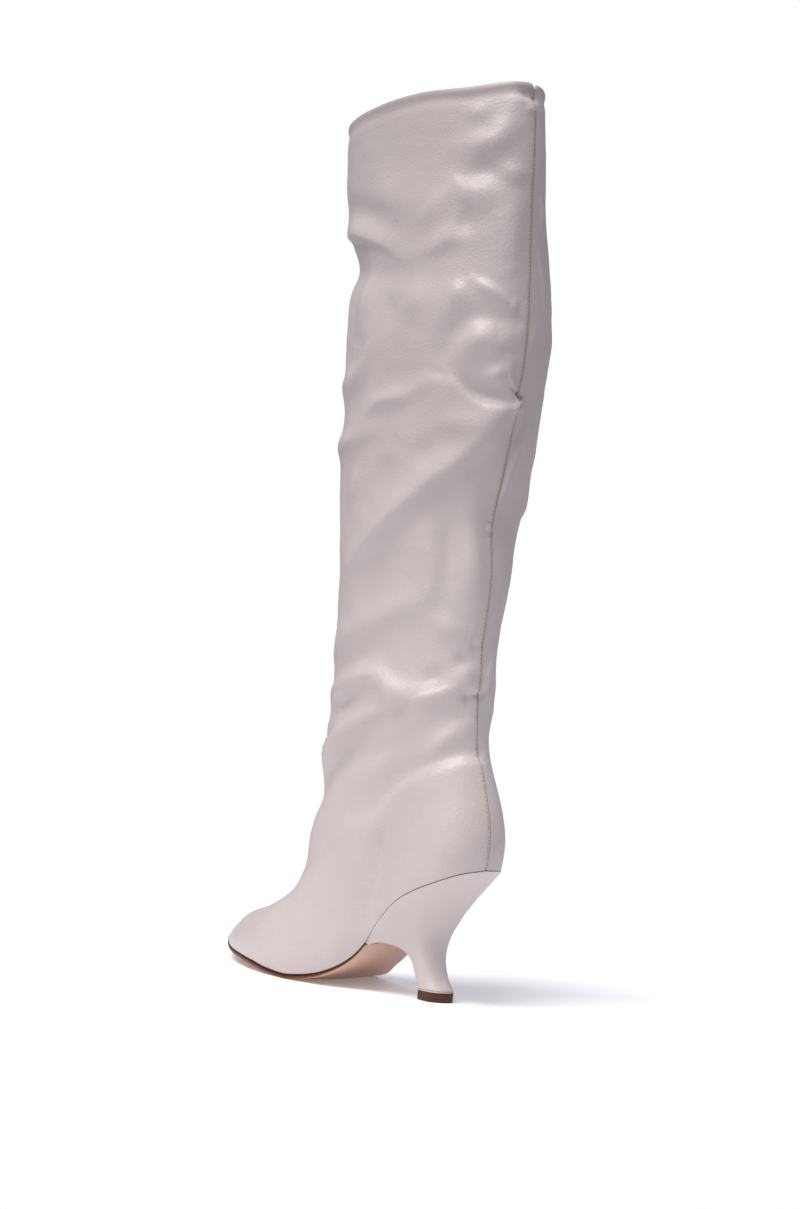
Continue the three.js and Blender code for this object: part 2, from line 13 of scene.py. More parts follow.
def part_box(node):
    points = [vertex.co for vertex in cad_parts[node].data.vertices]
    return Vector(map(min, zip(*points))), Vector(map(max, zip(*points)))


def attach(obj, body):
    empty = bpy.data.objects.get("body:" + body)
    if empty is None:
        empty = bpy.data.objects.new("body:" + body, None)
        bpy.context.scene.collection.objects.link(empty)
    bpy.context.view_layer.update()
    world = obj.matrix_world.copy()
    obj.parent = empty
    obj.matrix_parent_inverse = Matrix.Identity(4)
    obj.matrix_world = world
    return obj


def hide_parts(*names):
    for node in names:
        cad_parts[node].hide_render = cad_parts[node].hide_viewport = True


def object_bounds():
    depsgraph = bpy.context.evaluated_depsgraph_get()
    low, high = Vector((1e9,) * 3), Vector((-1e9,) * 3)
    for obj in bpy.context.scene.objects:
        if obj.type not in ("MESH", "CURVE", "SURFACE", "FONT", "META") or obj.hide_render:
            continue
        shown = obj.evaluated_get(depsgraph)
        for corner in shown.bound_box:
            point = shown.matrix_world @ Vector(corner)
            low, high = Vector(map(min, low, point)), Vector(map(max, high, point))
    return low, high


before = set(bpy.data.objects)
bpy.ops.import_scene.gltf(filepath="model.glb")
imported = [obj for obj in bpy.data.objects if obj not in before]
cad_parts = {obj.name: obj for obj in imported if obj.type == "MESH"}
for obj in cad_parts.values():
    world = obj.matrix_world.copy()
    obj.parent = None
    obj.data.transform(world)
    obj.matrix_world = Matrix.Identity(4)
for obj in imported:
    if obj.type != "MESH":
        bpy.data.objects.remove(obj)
cad_low, cad_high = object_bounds()

MM = 0.001
UP = np.array([0.0, 0.0, 1.0])

# Driving sizes of the boot, as in the part
FOOT_LENGTH = 238.5
BALL_WIDTH = 75
SEAT_WIDTH = 52
SEAT_HEIGHT = 72
SHAFT_HEIGHT = 418
SHAFT_DEPTH = 155
SHAFT_WIDTH = 68
UPPER_WALL = 1.8
SOLE_THICKNESS = 2.6
SOLE_CROWN = 1.6
CROWN_RUN = 0.15
EDGE_RUN = 0.12
SOLE_EDGE = 0.4
INSOLE_THICKNESS = 2.4
HEEL_REACH = 66
LIFT_THICKNESS = 5.6
LIFT_EDGE = 0.15
CLEARANCE = 0.3
BACK_ROUNDNESS = 2.2
FRONT_ROUNDNESS = 2.1
HEEL_LIP = 0.45
CORNER = 0.06
CORNER_DRAW = 0.08

# Half widths and heights of the upper's lower edge, from the back of the heel to the toe. The first row of
# each table names its columns.
PLAN = [
    ["along", "seatOut", "seatIn", "ballOut", "ballIn", "riseOut", "riseIn", "sole"],
    [0, 0, 0, 0, 0, 1, 1, 0.45],
    [0.01, 0.212, 0.19, 0, 0, 0.972, 1, 0.45],
    [0.03, 0.35, 0.31, 0, 0, 0.931, 0.992, 0.45],
    [0.06, 0.455, 0.4, 0, 0, 0.875, 0.958, 0.45],
    [0.1, 0.515, 0.452, 0, 0, 0.813, 0.895, 0.45],
    [0.145, 0.529, 0.47, 0, 0, 0.74, 0.815, 0.45],
    [0.18, 0.519, 0.468, 0, 0, 0.667, 0.748, 0.45],
    [0.22, 0.49, 0.452, 0.007, 0.004, 0.555, 0.648, 0.45],
    [0.25, 0.44, 0.42, 0.028, 0.02, 0.454, 0.569, 0.45],
    [0.275, 0.37, 0.38, 0.071, 0.043, 0.352, 0.493, 0.46],
    [0.3, 0.28, 0.33, 0.153, 0.077, 0.25, 0.42, 0.5],
    [0.325, 0.19, 0.27, 0.251, 0.12, 0.171, 0.355, 0.56],
    [0.36, 0.08, 0.18, 0.377, 0.187, 0.098, 0.279, 0.65],
    [0.4, 0, 0.08, 0.471, 0.28, 0.048, 0.2, 0.78],
    [0.45, 0, 0, 0.501, 0.379, 0.016, 0.118, 0.93],
    [0.5, 0, 0, 0.516, 0.421, 0, 0.04, 1],
    [0.57, 0, 0, 0.513, 0.473, 0.014, 0.004, 1],
    [0.65, 0, 0, 0.48, 0.487, 0.044, 0.01, 1],
    [0.74, 0, 0, 0.4, 0.467, 0.063, 0.036, 0.97],
    [0.83, 0, 0, 0.28, 0.413, 0.074, 0.06, 0.93],
    [0.91, 0, 0, 0.14, 0.333, 0.092, 0.086, 0.9],
    [0.96, 0, 0, 0.033, 0.26, 0.11, 0.106, 0.87],
    [1, 0, 0, -0.113, 0.113, 0.128, 0.128, 0.85],
]

# Rings of the upper from its lower edge (0) to the collar (21)
RINGS = [
    ["backUp", "backIn", "frontUp", "foot", "shaft", "sag", "plan", "out", "in", "peak"],
    [0, 0.008, 0, 1, 0, 1, 1, 0, 0, 0.5],
    [0.019, 0.004, 0.0075, 0.985, 0, 0.97, 0.99, 0.024, 0.018, 0.5],
    [0.043, 0.004, 0.0155, 0.948, 0, 0.92, 0.95, 0.041, 0.034, 0.48],
    [0.072, 0.015, 0.031, 0.873, 0, 0.84, 0.84, 0.074, 0.062, 0.45],
    [0.1, 0.033, 0.0465, 0.768, 0, 0.72, 0.65, 0.14, 0.12, 0.44],
    [0.129, 0.056, 0.064, 0.658, 0, 0.56, 0.45, 0.221, 0.197, 0.44],
    [0.158, 0.075, 0.0985, 0.564, 0, 0.38, 0.25, 0.309, 0.285, 0.46],
    [0.187, 0.083, 0.1535, 0.3, 0.334, 0.2, 0.1, 0.39, 0.368, 0.48],
    [0.22, 0.083, 0.219, 0.12, 0.555, 0.08, 0.03, 0.441, 0.426, 0.5],
    [0.239, 0.085, 0.2625, 0, 0.761, 0.03, 0, 0.456, 0.449, 0.5],
    [0.263, 0.087, 0.297, 0, 0.739, 0, 0, 0.463, 0.463, 0.5],
    [0.306, 0.083, 0.3595, 0, 0.752, 0, 0, 0.471, 0.485, 0.5],
    [0.366, 0.077, 0.433, 0, 0.781, 0, 0, 0.485, 0.544, 0.47],
    [0.438, 0.089, 0.5015, 0, 0.787, 0, 0, 0.5, 0.632, 0.44],
    [0.51, 0.06, 0.569, 0, 0.865, 0, 0, 0.515, 0.647, 0.43],
    [0.593, 0.037, 0.6405, 0, 0.906, 0, 0, 0.522, 0.654, 0.43],
    [0.677, 0.025, 0.713, 0, 0.948, 0, 0, 0.529, 0.654, 0.43],
    [0.737, 0.029, 0.767, 0, 0.952, 0, 0, 0.522, 0.64, 0.44],
    [0.785, 0.037, 0.811, 0, 0.916, 0, 0, 0.515, 0.588, 0.46],
    [0.852, 0.046, 0.867, 0, 0.974, 0, 0, 0.507, 0.515, 0.48],
    [0.916, 0.054, 0.923, 0, 1, 0, 0, 0.5, 0.478, 0.5],
    [1, 0.071, 0.981, 0, 0.994, 0, 0, 0.5, 0.47, 0.5],
]

# Broad slouch folds, the same as the solid's
FOLDS = [
    ["ring", "around", "climb", "reach", "spread", "height"],
    [6.9, 0.62, -0.7, 0.34, 0.55, 0.04],
    [5.7, 0.55, -0.9, 0.3, 0.5, -0.022],
    [8.7, 0.5, -0.6, 0.4, 0.7, 0.04],
    [7.8, 0.55, -0.7, 0.34, 0.45, -0.03],
    [8.4, -0.55, 0.6, 0.4, 0.7, 0.036],
    [6.9, -0.55, 0.6, 0.36, 0.6, 0.03],
    [12.6, 0.26, 0.5, 0.2, 0.6, 0.026],
    [14.6, 0.3, 0.8, 0.22, 0.5, -0.026],
    [16.2, 0.22, 0.5, 0.18, 0.6, 0.03],
    [17.7, 0.72, 0.5, 0.3, 0.45, -0.034],
    [18.8, 0.4, 0.4, 0.26, 0.5, 0.024],
    [16.6, -0.45, -0.5, 0.3, 0.6, 0.024],
    [14.2, -0.6, 0.5, 0.3, 0.6, -0.026],
    [18.4, -0.5, 0.4, 0.34, 0.5, -0.026],
    [2.6, 1, 0, 0.34, 1.2, 0.044],
]

# Rings of the heel from its top to the top lift
HEEL_RINGS = [
    ["back", "backUp", "front", "frontUp", "sag", "backWide", "frontWide"],
    [0, 1, 1, 0.315, 1, 1, 1],
    [0.034, 0.974, 0.994, 0.315, 0.97, 0.98, 0.99],
    [0.105, 0.912, 0.914, 0.321, 0.74, 0.86, 0.95],
    [0.212, 0.82, 0.856, 0.324, 0.52, 0.72, 0.87],
    [0.31, 0.722, 0.808, 0.32, 0.34, 0.62, 0.78],
    [0.4, 0.616, 0.765, 0.307, 0.2, 0.54, 0.68],
    [0.468, 0.518, 0.727, 0.287, 0.1, 0.47, 0.58],
    [0.5, 0.427, 0.697, 0.253, 0.04, 0.405, 0.49],
    [0.505, 0.336, 0.676, 0.21, 0.01, 0.35, 0.41],
    [0.487, 0.237, 0.652, 0.13, 0, 0.31, 0.345],
    [0.432, 0.108, 0.615, 0.047, 0, 0.3, 0.315],
    [0.345, 0, 0.595, 0, 0, 0.32, 0.31],
]

# Creases of the leather. Each is a stroke over the surface, from left to right as seen from outside, or
# from the bottom to the top: (height, width above, width below, strength at its start, strength at its end,
# [(ring, around), ...]). Height is positive for a ridge and negative for a trough. On an upright stroke
# the width above is the one on its left.
OUTER_CREASES = [
    # under the collar
    (2.4, 8, 9, 0.2, 0.4,
     [(20, 0.3), (19.98, 0.26), (20, 0.215), (20.08, 0.168), (20.25, 0.135), (20.45, 0.105),
      (20.68, 0.08)]),
    (-1.3, 10, 8, 0.2, 0.3, [(19.6, 0.26), (19.55, 0.215), (19.6, 0.17), (19.7, 0.13)]),
    (0.8, 4, 5, 0.2, 0.2, [(20.6, 0.28), (20.57, 0.225), (20.6, 0.17)]),
    (1.5, 8, 9, 0.2, 0.2,
     [(19.3, 0.31), (19.1, 0.275), (19, 0.235), (18.95, 0.19), (18.82, 0.15), (18.65, 0.125)]),
    (1.4, 8, 6, 0.1, 0.2, [(19.15, 0.12), (19.45, 0.09), (19.75, 0.065)]),
    (1.4, 6, 8, 0.1, 0.5, [(18.3, 0.42), (18.65, 0.37), (19, 0.325), (19.2, 0.29)]),
    (-1.5, 9, 9, 0.1, 0.1, [(18.5, 0.3), (18.45, 0.25), (18.5, 0.2)]),
    # long fold from the front notch, and the dimple beside it
    (-2, 9, 9, 0.1, 0.1,
     [(19.3, 1), (19.15, 0.8), (19, 0.68), (18.78, 0.58), (18.5, 0.49), (18.25, 0.43)]),
    (3.4, 9, 3.2, 0, 0.1,
     [(18.9, 1.15), (18.75, 0.95), (18.65, 0.8), (18.55, 0.7), (18.38, 0.62), (18.2, 0.56), (17.98, 0.51),
      (17.7, 0.465)]),
    (1.7, 8, 5, 0.1, 0.1,
     [(17.8, 0.44), (17.88, 0.39), (18, 0.34), (18.12, 0.3), (18.12, 0.25), (18.02, 0.2)]),
    (2.2, 7, 8, 0.1, 0.1, [(15.9, 0.66), (16.6, 0.63), (17.3, 0.62), (17.9, 0.64)]),
    (1.5, 9, 9, 0.1, 0.1, [(16, 0.4), (16.7, 0.4), (17.3, 0.42)]),
    (-1.3, 9, 9, 0.1, 0.1, [(15.9, 0.51), (16.6, 0.51), (17.3, 0.52)]),
    # the turn of the leather towards the seam
    (1.6, 9, 6, 0.2, 0.1, [(16.9, 0.085), (17.5, 0.09), (18.2, 0.09), (18.9, 0.085), (19.4, 0.07)]),
    # left side above the knee of the shaft
    (2.9, 8, 7, 0, 0.1,
     [(15.1, 1.1), (15.2, 0.93), (15.3, 0.8), (15.35, 0.7), (15.45, 0.63), (15.75, 0.59), (16.15, 0.575),
      (16.5, 0.545), (16.9, 0.51)]),
    (2.2, 6, 5, 0.1, 0.1,
     [(14.55, 0.63), (14.7, 0.6), (14.85, 0.555), (14.95, 0.51), (14.98, 0.46), (15.02, 0.41),
      (15.15, 0.36), (15.3, 0.32)]),
    # lobes that run into the seam
    (1.9, 3.2, 4.5, 0.3, 0.5,
     [(17.05, 0.225), (16.88, 0.18), (16.72, 0.14), (16.55, 0.105), (16.47, 0.07)]),
    (1.2, 7, 6, 0.1, 0.1, [(16.45, 0.3), (16.75, 0.26), (17, 0.23)]),
    (-2.4, 8, 6.5, 0.6, 0.3,
     [(15.35, 0.31), (15.75, 0.29), (16.08, 0.25), (16.25, 0.19), (16.2, 0.12), (16.15, 0.06)]),
    (1.7, 6.5, 6, 0.1, 0.4,
     [(15.35, 0.235), (15.65, 0.215), (15.8, 0.17), (15.75, 0.12), (15.88, 0.075), (15.98, 0.045)]),
    (2, 4.5, 5, 0.1, 0.4, [(15.22, 0.18), (15.28, 0.12), (15.38, 0.085), (15.53, 0.055)]),
    # the long crease to the pucker and the ridge under it
    (-2.3, 8, 3.2, 0.3, 0.9,
     [(15.35, 0.27), (15.2, 0.225), (15.06, 0.18), (14.97, 0.13), (14.96, 0.06), (15, 0.005)]),
    (3.5, 9, 7, 0.1, 0.9,
     [(11.7, 0.85), (11.9, 0.72), (12.15, 0.65), (12.35, 0.59), (12.5, 0.52), (12.75, 0.45), (13, 0.395),
      (13.25, 0.345), (13.5, 0.3), (13.75, 0.25), (13.95, 0.205), (14.2, 0.15), (14.4, 0.115),
      (14.65, 0.08), (14.85, 0.05), (14.97, 0.02)]),
    (1.4, 18, 9, 0.3, 0.2, [(12.3, 0.62), (12.5, 0.54), (12.8, 0.45), (13.2, 0.36), (13.55, 0.29)]),
    (1.5, 7, 7, 0.1, 0.3, [(14.8, 0.31), (14.62, 0.27), (14.56, 0.22), (14.6, 0.17), (14.72, 0.12)]),
    (-1.1, 8, 7, 0.1, 0.1, [(14.3, 0.38), (14.1, 0.31), (14, 0.25)]),
    (2.8, 8, 6, 0, 0.1,
     [(14.3, 1.15), (14.3, 0.95), (14.35, 0.8), (14.36, 0.7), (14.42, 0.62), (14.5, 0.56), (14.6, 0.51),
      (14.75, 0.47)]),
    (-1.5, 11, 11, 0.4, 0.4, [(13.3, 0.51), (13.7, 0.465), (14.15, 0.42)]),
    (1.2, 4, 5, 0.1, 0.1, [(13.2, 0.67), (13.6, 0.62), (14, 0.595)]),
    # middle of the shaft: a ridge that climbs from the front and turns upright beside a long hollow
    (2.9, 11, 7, 0, 0.1,
     [(10.7, 1.1), (10.78, 0.9), (10.88, 0.74), (11, 0.62), (11.1, 0.54), (11.22, 0.46), (11.35, 0.39),
      (11.48, 0.32), (11.65, 0.28), (11.95, 0.265), (12.25, 0.262), (12.7, 0.262)]),
    (-2.5, 9, 8, 0.1, 0.1, [(11.4, 0.205), (11.9, 0.188), (12.4, 0.185), (12.9, 0.19), (13.3, 0.2)]),
    (1.9, 10, 6, 0.2, 0.1, [(10.95, 0.095), (11.6, 0.088), (12.3, 0.09), (13, 0.1), (13.6, 0.12)]),
    (1.3, 6, 6, 0.1, 0.5, [(11.1, 0.27), (11.02, 0.215), (10.87, 0.16), (10.72, 0.115), (10.65, 0.08)]),
    (-0.8, 3, 3, 0.1, 0.6, [(10.44, 0.09), (10.41, 0.05), (10.43, 0.005)]),
    (-1, 4, 4, 0.1, 0.3, [(9.93, 0.15), (9.97, 0.11), (10, 0.07), (10.08, 0.035)]),
    # ankle: the curved ridge and the two under it
    (3.6, 6.5, 6.5, 0, 0.4,
     [(10, 1.12), (10, 0.93), (10, 0.8), (9.98, 0.7), (9.98, 0.61), (10.02, 0.52), (9.92, 0.45),
      (9.6, 0.41), (9.2, 0.38), (8.75, 0.34), (8.4, 0.3), (8.25, 0.25), (8.28, 0.2), (8.42, 0.15),
      (8.58, 0.11), (8.8, 0.075)]),
    (1.1, 5, 5.5, 0.1, 0.2,
     [(9.25, 0.39), (8.8, 0.35), (8.45, 0.305), (8.32, 0.25), (8.36, 0.2), (8.5, 0.15), (8.68, 0.11),
      (8.9, 0.075)]),
    (-1.8, 6, 6, 0.1, 0.2, [(9.3, 0.3), (9.15, 0.24), (9.2, 0.18), (9.4, 0.13)]),
    (-1.9, 7, 5, 0.2, 0.1, [(9.2, 0.8), (9.25, 0.68), (9.25, 0.57), (9, 0.48)]),
    (4, 3, 7, 0.2, 0.2,
     [(7.6, 1.1), (7.8, 0.9), (8.05, 0.78), (8.22, 0.69), (8.34, 0.6), (8.42, 0.51), (8.46, 0.43),
      (8.45, 0.36)]),
    (-1.7, 6, 6, 0.1, 0.1, [(7.5, 0.56), (7.45, 0.46), (7.4, 0.38), (7.25, 0.3), (7.05, 0.22)]),
    (1.5, 6, 6, 0.1, 0.5, [(6.3, 0.27), (6.4, 0.19), (6.55, 0.11), (6.78, 0.03)]),
    (-1.5, 6, 4, 0.1, 0.7,
     [(6.2, 0.36), (6.08, 0.3), (5.93, 0.24), (5.8, 0.18), (5.66, 0.125), (5.57, 0.08), (5.5, 0.04),
      (5.47, 0.005)]),
    (1.8, 6, 11, 0.2, 0.4,
     [(6.5, 0.7), (6.35, 0.62), (6.15, 0.54), (5.97, 0.46), (5.75, 0.39), (5.48, 0.31), (5.28, 0.24),
      (5.2, 0.17), (5.18, 0.1), (5.18, 0.02)]),
    (-1.3, 3, 4, 0.1, 0.4, [(8.02, 0.11), (7.9, 0.07), (7.9, 0.02)]),
    (0.9, 6, 6, 0.1, 0.1, [(5, 0.72), (4.9, 0.65), (4.75, 0.58)]),
]

# Short pleats that gather where the seam is drawn in, and the sharp folds just past it
SEAM_CREASES = [
    (-1.8, 3.2, 2.6, 0.2, 0.9, [(20.93, 0.075), (20.8, 0.04), (20.76, 0.003)]),
    (1, 2, 2.4, 0.1, 0.5, [(20.6, 0.06), (20.57, 0.03), (20.56, 0.004)]),
    (-1.7, 1.8, 1.6, 0.1, 1, [(15.22, 0.05), (15.1, 0.022), (15.06, 0)]),
    (1.4, 1.6, 1.8, 0.1, 0.8, [(15.45, 0.07), (15.25, 0.045), (15.12, 0.018)]),
    (1.7, 1.6, 1.6, 0.1, 1, [(14.75, 0.03), (14.9, 0.012), (14.97, 0)]),
    (-1.6, 2, 2, 1, 0.1, [(15.06, 0), (15.03, -0.012), (14.96, -0.03)]),
    (-0.9, 1.8, 1.6, 0.1, 1, [(13.02, 0.04), (12.98, 0.015), (12.96, 0)]),
    (0.9, 1.6, 1.8, 0.1, 1, [(12.84, 0.035), (12.87, 0.012), (12.9, 0)]),
    (-0.7, 1.8, 1.6, 0.1, 1, [(12.72, 0.03), (12.78, 0.01), (12.8, 0)]),
    (0.9, 1.8, 2, 0.1, 0.8, [(8.35, 0.05), (8.2, 0.02), (8.1, 0)]),
    (-1.1, 1.8, 2, 0.1, 0.8, [(8.1, 0.05), (7.95, 0.02), (7.9, 0)]),
    (2.4, 2.2, 1.6, 0.3, 0.4,
     [(12.95, -0.004), (13.35, -0.012), (13.7, -0.02), (14.05, -0.028), (14.35, -0.045), (14.65, -0.066),
      (14.85, -0.09), (15.1, -0.12)]),
    (1.7, 2.2, 1.8, 0.2, 0.1,
     [(16.15, -0.125), (16.5, -0.1), (16.9, -0.083), (17.6, -0.063), (18.2, -0.055)]),
    (-1.6, 12, 12, 0.1, 0.1,
     [(15.6, -0.15), (16.3, -0.145), (17.1, -0.135), (17.9, -0.13), (18.6, -0.13)]),
    (1, 1.8, 1.8, 0.1, 0.1, [(15.6, -0.018), (15.9, -0.028), (16.3, -0.045)]),
    (1.5, 2.4, 2.4, 0.1, 0.1, [(18.3, -0.09), (18.7, -0.075), (19.2, -0.062)]),
    (-1.5, 4, 4, 0.8, 0.1, [(8.1, -0.005), (8, -0.03), (7.85, -0.07)]),
    (1.6, 2.4, 2.4, 0.2, 0.1, [(8.3, -0.02), (8.9, -0.045), (9.8, -0.07), (10.4, -0.1)]),
]

# The inner side wrinkles much as the outer one does, a little lower, and shifted by up to this many rings
INNER_SHARE = 0.8
INNER_SHIFT = 0.35
# Round the front, where the two sides meet, creases keep this share of their height
FRONT_CALM = 0.55

# How finely the leather is divided
RINGS_UP = 350
FINE_ROWS = 900
OUTER_STEPS = 140
INNER_STEPS = 78
NEAR_SEAM = 0.145
NEAR_START = 0.015
NEAR_STEP = 0.0055
FOOT_SHARE = 0.45
EDGE_ROW = 0.08
ROUND_SHARE = 0.86
SEAM_COLUMNS = [-2.6, -1.7, -1.1, -0.65, -0.35, -0.12, 0.0, 0.12, 0.3, 0.6, 1.0, 1.4, 1.9, 2.6]  # mm

# How finely the heel, the sole and the insole are divided
HEEL_STEPS = 44
HEEL_FRONT_STEPS = 16
HEEL_ROWS = 90
SOLE_STEPS = 130
SOLE_COLUMNS = 41
INSOLE_STEPS = 90
INSOLE_COLUMNS = 31

# Back seam: the outer panel laps over the inner one, and the thread draws the leather in
LAP_STEP = 0.6
LAP_FADE = 9.0
SEAM_PULL = 0.5
THREAD_PULL = 0.12
STITCH_INSET = 0.95
STITCH_PITCH = 2.1
STITCH_LENGTH = 1.45
STITCH_RADIUS = 0.23
STITCH_SIDES = 6
# Places along a stitch and its thickness there, as shares of its length and radius
STITCH_PROFILE = [(-0.5, 0.35), (-0.36, 0.9), (0.0, 1.0), (0.36, 0.9), (0.5, 0.35)]

# The creases away from the seam are made this much deeper than their table says
CREASE_DEPTH = 1.45
# A crease ends this far into the boot, so that it doesn't reach the far wall
THROUGH_LIMIT = 11
# Soft swells of the leather: height, length and seed
SWELLS = [(0.22, 34, 3), (0.08, 14, 5)]

# Collar: it flares a little over a shallow groove, rolls in at its edge, dips on the outer side and has a
# notch at the seam
COLLAR_FLARE = 0.3
COLLAR_GROOVE = 0.7
COLLAR_EDGE = 0.8
COLLAR_DIP = 2.3
COLLAR_NOTCH = 1.7
# share of the dark edge colour laid along the collar band and its rolled rim as painted shade
COLLAR_SHADE_SHARE = 0.17
ROLL_RISE = 0.5


def columns(table):
    """The table's columns as arrays, by the names in its first row."""
    values = np.array(table[1:], float)
    return {name: values[:, k] for k, name in enumerate(table[0])}


def mix(a, b, t):
    return a + (b - a) * t


def smooth(low, high, x):
    """0 below low, 1 above high and a smooth rise between them."""
    t = np.clip((x - low) / (high - low), 0, 1)
    return t * t * (3 - 2 * t)


def hump(x, middle, width):
    """A bell curve of height 1."""
    return np.exp(-(((x - middle) / width) ** 2))


def cubic(p, q, slope_p, slope_q, t):
    """The smooth curve from p to q that has the given slopes at its ends."""
    return (
        (2 * t**3 - 3 * t**2 + 1) * p
        + (t**3 - 2 * t**2 + t) * slope_p
        + (3 * t**2 - 2 * t**3) * q
        + (t**3 - t**2) * slope_q
    )


def at_row(values, row):
    """A column read smoothly at row numbers with fractions."""
    values = np.asarray(values, float)
    last = len(values) - 1
    row = np.clip(np.asarray(row, float), 0, last)
    i = np.minimum(row.astype(int), last - 1)
    slopes = np.gradient(values)
    return cubic(values[i], values[i + 1], slopes[i], slopes[i + 1], row - i)


def over(xs, ys, x):
    """A column read smoothly over another column, with no overshoot between rows."""
    rise = np.diff(ys) / np.diff(xs)
    slopes = np.zeros(len(xs))
    slopes[0], slopes[-1] = rise[0], rise[-1]
    before, after = rise[:-1], rise[1:]
    same = before * after > 0
    slopes[1:-1] = np.where(same, 2 * before * after / np.where(same, before + after, 1), 0)
    i = np.clip(np.searchsorted(xs, x, side="right") - 1, 0, len(xs) - 2)
    width = xs[i + 1] - xs[i]
    t = np.clip((x - xs[i]) / width, 0, 1)
    return cubic(ys[i], ys[i + 1], slopes[i] * width, slopes[i + 1] * width, t)


plan, rings, folds, heel_rings = (columns(t) for t in (PLAN, RINGS, FOLDS, HEEL_RINGS))
TOP_ROW = len(rings["peak"]) - 1
BACK_X = rings["backIn"][0] * FOOT_LENGTH


def angle_of(along):
    return np.arccos(np.clip(1 - 2 * np.asarray(along, float), -1, 1))


def plan_at(name, along):
    return over(angle_of(plan["along"]), plan[name], angle_of(along))


def half_width(along, side):
    outer = plan_at("seatOut", along) * SEAT_WIDTH + plan_at("ballOut", along) * BALL_WIDTH
    inner = plan_at("seatIn", along) * SEAT_WIDTH + plan_at("ballIn", along) * BALL_WIDTH
    return np.where(side > 0, outer, inner)


def edge_height(along, side):
    rise = np.where(side > 0, plan_at("riseOut", along), plan_at("riseIn", along))
    return mix(SOLE_THICKNESS, SEAT_HEIGHT, rise)


TOE_Z = float(edge_height(1.0, 1))

# The frame's origin in the tables' own axes, from the pieces that both have
heel_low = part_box("heel")[0]
sole_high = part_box("outsole")[1]
station_angles = np.linspace(0, np.pi, 25)
widest = float(np.max(half_width((1 - np.cos(station_angles)) / 2, 1))) + SOLE_EDGE
ORIGIN = np.array([BACK_X - heel_low.x / MM, widest - sole_high.y / MM, 0.0])


def place(points):
    """Points of the tables' axes, in millimetres, brought into the row frame, in metres."""
    return (np.asarray(points, float) - ORIGIN) * MM


def last_point(row, around):
    """Points of the last's surface; around runs from the back seam (0) to the front (1, or -1 inside)."""
    row, around = np.broadcast_arrays(np.asarray(row, float), np.asarray(around, float))
    side = np.where(around >= 0, 1, -1)
    along = (1 - np.cos(np.pi * np.abs(around))) / 2
    ring = {name: at_row(values, row) for name, values in rings.items()}
    back_z = SEAT_HEIGHT + ring["backUp"] * SHAFT_HEIGHT
    front_z = mix(TOE_Z, SEAT_HEIGHT + SHAFT_HEIGHT, ring["frontUp"])
    front = along > ring["peak"]
    reach = np.abs(along - ring["peak"]) / np.where(front, 1 - ring["peak"], ring["peak"])
    power = np.where(front, FRONT_ROUNDNESS, BACK_ROUNDNESS)
    roundness = np.sqrt(np.maximum(0, 1 - reach**power))
    width = np.where(side > 0, ring["out"], ring["in"]) * SHAFT_WIDTH * roundness
    sag = edge_height(along, side) - mix(SEAT_HEIGHT, TOE_Z, along)
    x = ring["backIn"] * FOOT_LENGTH + along * (ring["foot"] * FOOT_LENGTH + ring["shaft"] * SHAFT_DEPTH)
    y = side * (ring["plan"] * half_width(along, side) + width)
    z = mix(back_z, front_z, along) + ring["sag"] * sag
    return np.stack([x, y, z], -1)


def unit(vectors):
    length = np.linalg.norm(vectors, axis=-1, keepdims=True)
    return vectors / np.maximum(length, 1e-9)


def grid_normals(points):
    """Outward normals of a grid whose rows go up and whose columns go round from the back seam."""
    around = np.roll(points, -1, 1) - np.roll(points, 1, 1)
    up = np.gradient(points, axis=0)
    return unit(np.cross(up, around))


def run_along(line, share=1):
    """How far along a line of points each of them lies."""
    return np.r_[0, np.cumsum(np.linalg.norm(np.diff(line, axis=0), axis=1) * share)]


def on_line(spots, run, line):
    """Points of a line, or of values kept along it, at distances along it."""
    return np.stack([np.interp(spots, run, line[:, k]) for k in range(3)], -1)


def fold_height(row, around):
    """The broad folds of the solid."""
    total = 0
    for k in range(len(folds["ring"])):
        away = around - folds["around"][k]
        aside = (away - 2 * np.round(away / 2)) / folds["reach"][k]
        up = (row - folds["ring"][k] - folds["climb"][k] * aside) / folds["spread"][k]
        total = total + folds["height"][k] * SHAFT_WIDTH * np.exp(-aside * aside - up * up)
    return total


def wrapped(around):
    """Places past the front (1) carried on along the inner side."""
    return around - 2 * np.floor((around + 1) / 2)


def on_inner_side(creases):
    """The same strokes on the inner side, shifted a little up or down, still from left to right."""
    return [
        (height * INNER_SHARE, above, below, end, start,
         [(ring + INNER_SHIFT * np.sin(2.1 * ring), -around) for ring, around in reversed(path)])
        for height, above, below, start, end, path in creases
    ]


